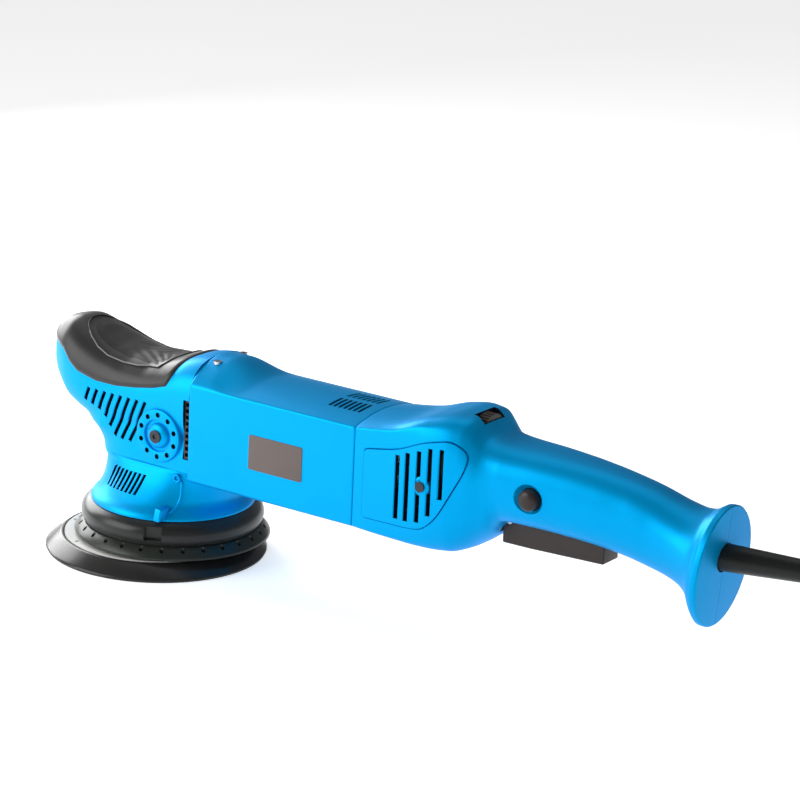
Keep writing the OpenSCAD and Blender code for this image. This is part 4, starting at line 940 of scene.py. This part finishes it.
def rounded(outline, radius, steps=5):
    """An outline with each corner replaced by a quadratic curve that starts and ends the
    given distance away from it along its two sides, or just short of their middles."""
    p = np.array(outline, float)
    before, after = np.roll(p, 1, 0) - p, np.roll(p, -1, 0) - p
    before *= (np.minimum(radius / np.linalg.norm(before, axis=1), 0.48))[:, None]
    after *= (np.minimum(radius / np.linalg.norm(after, axis=1), 0.48))[:, None]
    t = np.linspace(0, 1, steps)[None, :, None]
    return bent((p + before)[:, None], p[:, None], (p + after)[:, None], t).reshape(-1, 2)


def grown(outline, grow):
    """An outline moved out by grow along its corners' mean normals."""
    return rolled(outline, 0, 1, -grow, 2)[0][:, :2]


def prism(outline, low, high, axis=1):
    """An outline carried straight along an axis, as a two-row grid."""
    p = np.array(outline, float)
    ends = [np.insert(p, axis, level, axis=1) for level in (low, high)]
    return np.stack(ends)


cut(shell, "DIFFERENCE",
    block((267.5, -trigger_half, 40), (345, trigger_half, 92)),
    block((dial_x - window_half[0], -window_half[1], 128),
          (dial_x + window_half[0], window_half[1], 160)), painted_shade="all")
cut(shell, "DIFFERENCE",
    turned([(0.01, -40), (13.2, -40), (11.0, -27.6), (8.6, -24.4), (7.4, -23.8), (7.2, -23.2),
            (7.2, -10), (0.01, -10)], 64, button, axis=1),
    turned([(0.01, -16), (sleeve_hole, -16), (sleeve_hole, 16), (0.01, 16)], 48,
           (end_x, 0, sleeve_root[2]), axis=0))
vent_edge = rounded(vent_outline, vent_corners)
pocket_gap, pocket_depth, pocket_ledge = 0.7, 1.8, 3.2
for side in (-1, 1):
    pocket = as_mesh("pocket", prism(grown(vent_edge, pocket_gap), side * 20, side * 45))
    cut(pocket, "DIFFERENCE", handle_grid(-pocket_depth, handle_fine[::3]))
    cut(shell, "DIFFERENCE", pocket, painted_shade="all")
    cut(shell, "DIFFERENCE", prism(grown(vent_edge, -pocket_ledge), side * 20, side * 45),
        painted_shade="all")
for side, name in ((-1, "handle_shell_left"), (1, "handle_shell_right")):
    low, high = sorted((side * 0.1, side * 90.0))
    half_shell = shell.copy()
    half_shell.data = shell.data.copy()
    half_shell.name = "handle_half_" + side_names[side]
    bpy.context.scene.collection.objects.link(half_shell)
    cut(half_shell, "INTERSECT", block((rear_x - 20, low, 20), (end_x + 20, high, 180)))
    dress(half_shell, blue_shell, (name,), sharp=38)
bpy.data.objects.remove(shell)

# ------------------------------------------------
# Vent covers. A blue cover let into each side of the handle, standing 0.8 mm proud, with
# five slots and a screwed hub that two of the slots pass behind.
vent_slots = [(34, 77, 118), (41.5, 77, 121), (50.1, 78, 124), (58.3, 84, 127.5),
              (66.5, 96.5, 128.5)]
hub_x, hub_z, hub_r = rear_x + 52, 101.5, 5.0
hub_profile = [(0.01, 31), (hub_r + 1.6, 31), (hub_r + 1.2, 34.6), (hub_r, 35.2),
               (hub_r - 0.6, 35.2), (hub_r - 1.0, 34.8), (0.01, 34.8)]
cover_proud, cover_depth = 0.8, 2.2
for side, name in ((-1, "vent_cover_left"), (1, "vent_cover_right")):
    cover = as_mesh("air_cover_" + side_names[side], handle_grid(cover_proud, handle_fine))
    cut(cover, "INTERSECT", prism(vent_edge, side * 10, side * 45))
    cut(cover, "DIFFERENCE", handle_grid(-cover_depth, handle_fine[::3]))
    slots = []
    for x, low, high in vent_slots:
        z = np.linspace(high, low, 10)
        y = side * np.interp(rear_x + x, handle_fine[:, 0], handle_fine[:, 3]) + 0 * z
        y = y + side * cover_proud
        slots.append(slot_cutter(np.stack([rear_x + x + 0 * z, y, z], 1), (1.0, 0, 0),
                                 (0, side, 0), 3.0, flare=0.5))
    cut(cover, "DIFFERENCE", *slots, painted_shade="slots")
    cut(cover, "UNION", turned(np.array(hub_profile) * (1, side), 48, (hub_x, 0, hub_z),
                               axis=1))
    dress(cover, blue_shell, (name,), sharp=38)

# ------------------------------------------------
# Bumper ring. A fat moulded rubber ring pressed on the neck's flange, with a square notch
# on the lock button's side.
bumper_bore = 49.2
bumper_profile = [(max(52.2 + 9.4 * cos(a), bumper_bore), 27.2 + 9.3 * sin(a))
                  for a in np.arange(48) * 2 * pi / 48]
bumper = as_mesh("bumper", turned(bumper_profile, 220), loop=True)
notch, notch_floor, notch_half = radians(-64), 57.1, 6
notch_way, notch_side = np.array((cos(notch), sin(notch))), np.array((-sin(notch), cos(notch)))
notch_plan = [reach * notch_way + side * notch_half * notch_side for reach, side in
              ((notch_floor, -1), (notch_floor, 1), (70, 1), (70, -1))]
cut(bumper, "DIFFERENCE", prism(notch_plan, 24, 33.5, 2))
bumper_rubber = rubber("bumper rubber", (32, 35, 32), (25, 28, 26), 0.3, mottle=20,
                       grain=900, depth=0.00006, strength=0.3, Sheen_Weight=0.1)
dress(bumper, bumper_rubber, ("bumper_ring",))

# Guard ring. A thin moulded ring under the bumper, sloping out and down over the plate, with
# 28 drain holes near its rim and a turned-up lip.
guard_profile = [(46.2, 18.4), (57.8, 18.4), (58.6, 18.1), (63.3, 12.9), (64.0, 12.5),
                 (65.3, 12.4), (66.0, 12.9), (66.1, 13.6), (65.6, 14.9), (60.4, 20.1),
                 (59.6, 20.4), (46.2, 20.4)]
guard = as_mesh("guard", turned(guard_profile, 240), loop=True)
drain_count, drain_radius, drain_circle = 28, 1.5, 61.9
drains = [turned([(0.01, 8), (drain_radius, 8), (drain_radius, 24), (0.01, 24)], 16,
                 (drain_circle * cos(a), drain_circle * sin(a), 0))
          for a in (np.arange(drain_count) + 0.5) * 2 * pi / drain_count]
cut(guard, "DIFFERENCE", *drains)
guard_rubber = rubber("guard rubber", (42, 47, 42), (34, 39, 35), 0.32, mottle=20,
                      grain=1200, depth=0.00005, strength=0.3)
dress(guard, guard_rubber, ("guard_ring",))

# ------------------------------------------------
# Backing plate. A soft conical rubber rim round a white moulded core, with hook fabric glued
# underneath to hold a polishing pad. It spins freely on the eccentric spindle.
pad_low, pad_high = box_mm("plate_rim")
pad_centre = ((pad_low + pad_high) / 2)[:2]
rim_profile = [(62.05, 8.7), (62.05, 10.0), (64.2, 10.15), (65.2, 9.7), (74.0, 2.9),
               (74.8, 2.1), (74.9, 1.75), (74.2, 1.6), (40, 1.6), (40, 8.6)]
rim = as_mesh("plate_edge", turned(rim_profile, 240, (*pad_centre, 0)), loop=True)
rim_rubber = rubber("plate rubber", (44, 43, 42), (36, 35, 34), 0.25, mottle=20,
                    grain=1100, depth=0.00005, strength=0.3)
dress(rim, rim_rubber, ("plate_rim",), body="pad")

# ------------------------------------------------
# Trigger and lock button. A long paddle of dark plastic, a channel moulded in one piece and
# hinged at its front, and a domed round button beside it that locks the paddle down.
paddle_low, paddle_high = box_mm("trigger_paddle")
paddle_side = rounded([(269.4, 69), (290, 69.3), (318, 70.4), (343.5, 71.4), (343.5, 88.5),
                       (300, 89), (269.4, 88)], 1.2)
paddle = as_mesh("paddle", rolled(paddle_side, paddle_low[1], paddle_high[1], 0.9, 1))
paddle_wall = 2
for low, high, floor in ((279, 296, 73.6), (295.9, 304.1, 84.5), (304, 341.5, 73.6)):
    cut(paddle, "DIFFERENCE", block((low, paddle_low[1] + paddle_wall, floor),
                                    (high, paddle_high[1] - paddle_wall, 95)))
control_plastic = rubber("control plastic", (50, 41, 38), (42, 34, 32), 0.36, mottle=30,
                         grain=1600, depth=0.00004, strength=0.3)
dress(paddle, control_plastic, ("trigger_paddle",), body="trigger")
dome = [(0.01, -30.6), (2.5, -30.5), (4.4, -30.1), (5.8, -29.4), (6.5, -28.6), (6.8, -27.4),
        (6.9, -26), (6.9, -17), (5.1, -17), (5.1, -26.4), (0.01, -26.4)]
knob = as_mesh("lock_knob", turned(dome, 64, button, axis=1))
pin_low, pin_high = box_mm("trigger_pin")
pin_radius, pin_half, pin_edge = (pin_high - pin_low)[0] / 2, 9.1, 0.3
hinge_pin = as_mesh("hinge_pin", turned(
    [(0.01, -pin_half), (pin_radius - pin_edge, -pin_half), (pin_radius, pin_edge - pin_half),
     (pin_radius, pin_half - pin_edge), (pin_radius - pin_edge, pin_half), (0.01, pin_half)],
    32, (pin_low + pin_high) / 2 * (1, 0, 1), axis=1))
dress(knob, control_plastic, ("lock_button",), body="button")

# ------------------------------------------------
# Cord sleeve. A tapered rubber sleeve that keeps the cord from kinking at the guard.
sleeve_rows = smooth_rows([(0, 8.65, 0), (2, 8.65, 0), (20, 8.2, 0), (40, 7.5, 0),
                           (52, 7.05, 0), (56, 6.6, 0), (58, 5.9, 0), (59.5, 4.9, 0),
                           (60, 4.1, 0)], 60)
sleeve_path = sleeve_root + sleeve_rows[:, :1] * sleeve_way
sleeve = as_mesh("cord_sleeve", tube_grid(sleeve_path, sleeve_rows[:, 1], 64))
sleeve_rubber = rubber("sleeve rubber", (20, 25, 22), (14, 18, 16), 0.4, grain=900,
                       depth=0.00005, Sheen_Weight=0.1)
dress(sleeve, sleeve_rubber, ("strain_relief",))

# ------------------------------------------------
# Carried-over parts. Screws, gears, windings and the other pieces inside keep the frame's
# own meshes, each with the finish of what it is made of.


def carried(material, *names):
    """Puts a material on frame parts that keep their meshes."""
    for name in names:
        mesh = nodes[name].data
        mesh.materials.clear()
        mesh.materials.append(material)


zinc = moulded("zinc plate", (205, 208, 212), (188, 192, 198), 0.28, mottle=60, grain=900,
               depth=0.00002, Metallic=1.0)
dark_steel = moulded("dark steel", (70, 72, 76), (52, 54, 58), 0.36, mottle=50, grain=900,
                     depth=0.00002, Metallic=1.0)
cast_alloy = moulded("cast alloy", (170, 172, 174), (146, 148, 152), 0.5, mottle=30, grain=420,
                     depth=0.0002, strength=0.5, Metallic=1.0)
copper = moulded("enamelled copper", (176, 92, 48), (140, 66, 34), 0.32, mottle=90, grain=600,
                 depth=0.0002, strength=0.6, Metallic=0.9, Coat_Weight=0.5)
brass = moulded("brass", (206, 172, 96), (182, 148, 76), 0.3, mottle=60, Metallic=1.0)
carbon = moulded("carbon", (38, 38, 40), (26, 26, 28), 0.6, mottle=80, Metallic=0.2)
black_plastic = moulded("black plastic", (26, 28, 30), (18, 19, 21), 0.42, grain=1500)
board_green = moulded("board green", (26, 92, 58), (18, 72, 44), 0.35, mottle=90)
white_core = moulded("white core", (232, 232, 228), (220, 220, 216), 0.4, grain=1500)
hook_fabric = moulded("hook fabric", (48, 48, 50), (30, 30, 32), 0.85, mottle=300, grain=2600,
                      depth=0.0005, strength=0.9, Sheen_Weight=0.4)
laminations = moulded("laminations", (120, 122, 126), (96, 98, 102), 0.4, mottle=60,
                      Metallic=1.0)
carried(zinc, "head_screws", "handle_screws", "gearbox_screws",
        "spindle_bearings", "motor_bearings", "pad_bearings", "button_spring",
        "trigger_spring", "plug_pins")
carried(dark_steel, "boss_screws", "vent_cover_screws", "plate_bolt", "drive_pinion",
        "spindle_shaft", "bevel_gear", "pad_spindle", "armature_shaft", "eccentric_hub")
dress(hinge_pin, zinc, ("trigger_pin",))
carried(cast_alloy, "gearbox_casting", "gearbox_cover")
carried(laminations, "stator_core", "armature_core")
carried(copper, "stator_windings", "armature_windings", "commutator")
carried(brass, "brush_holders")
carried(carbon, "carbon_brushes")
carried(black_plastic, "exhaust_grilles", "brush_bracket", "switch_body", "cord_clamp",
        "switch_plunger", "coil_tie", "cooling_fan")
carried(board_green, "speed_module")
carried(white_core, "plate_core")
carried(hook_fabric, "hook_face")
carried(control_plastic, "speed_dial")
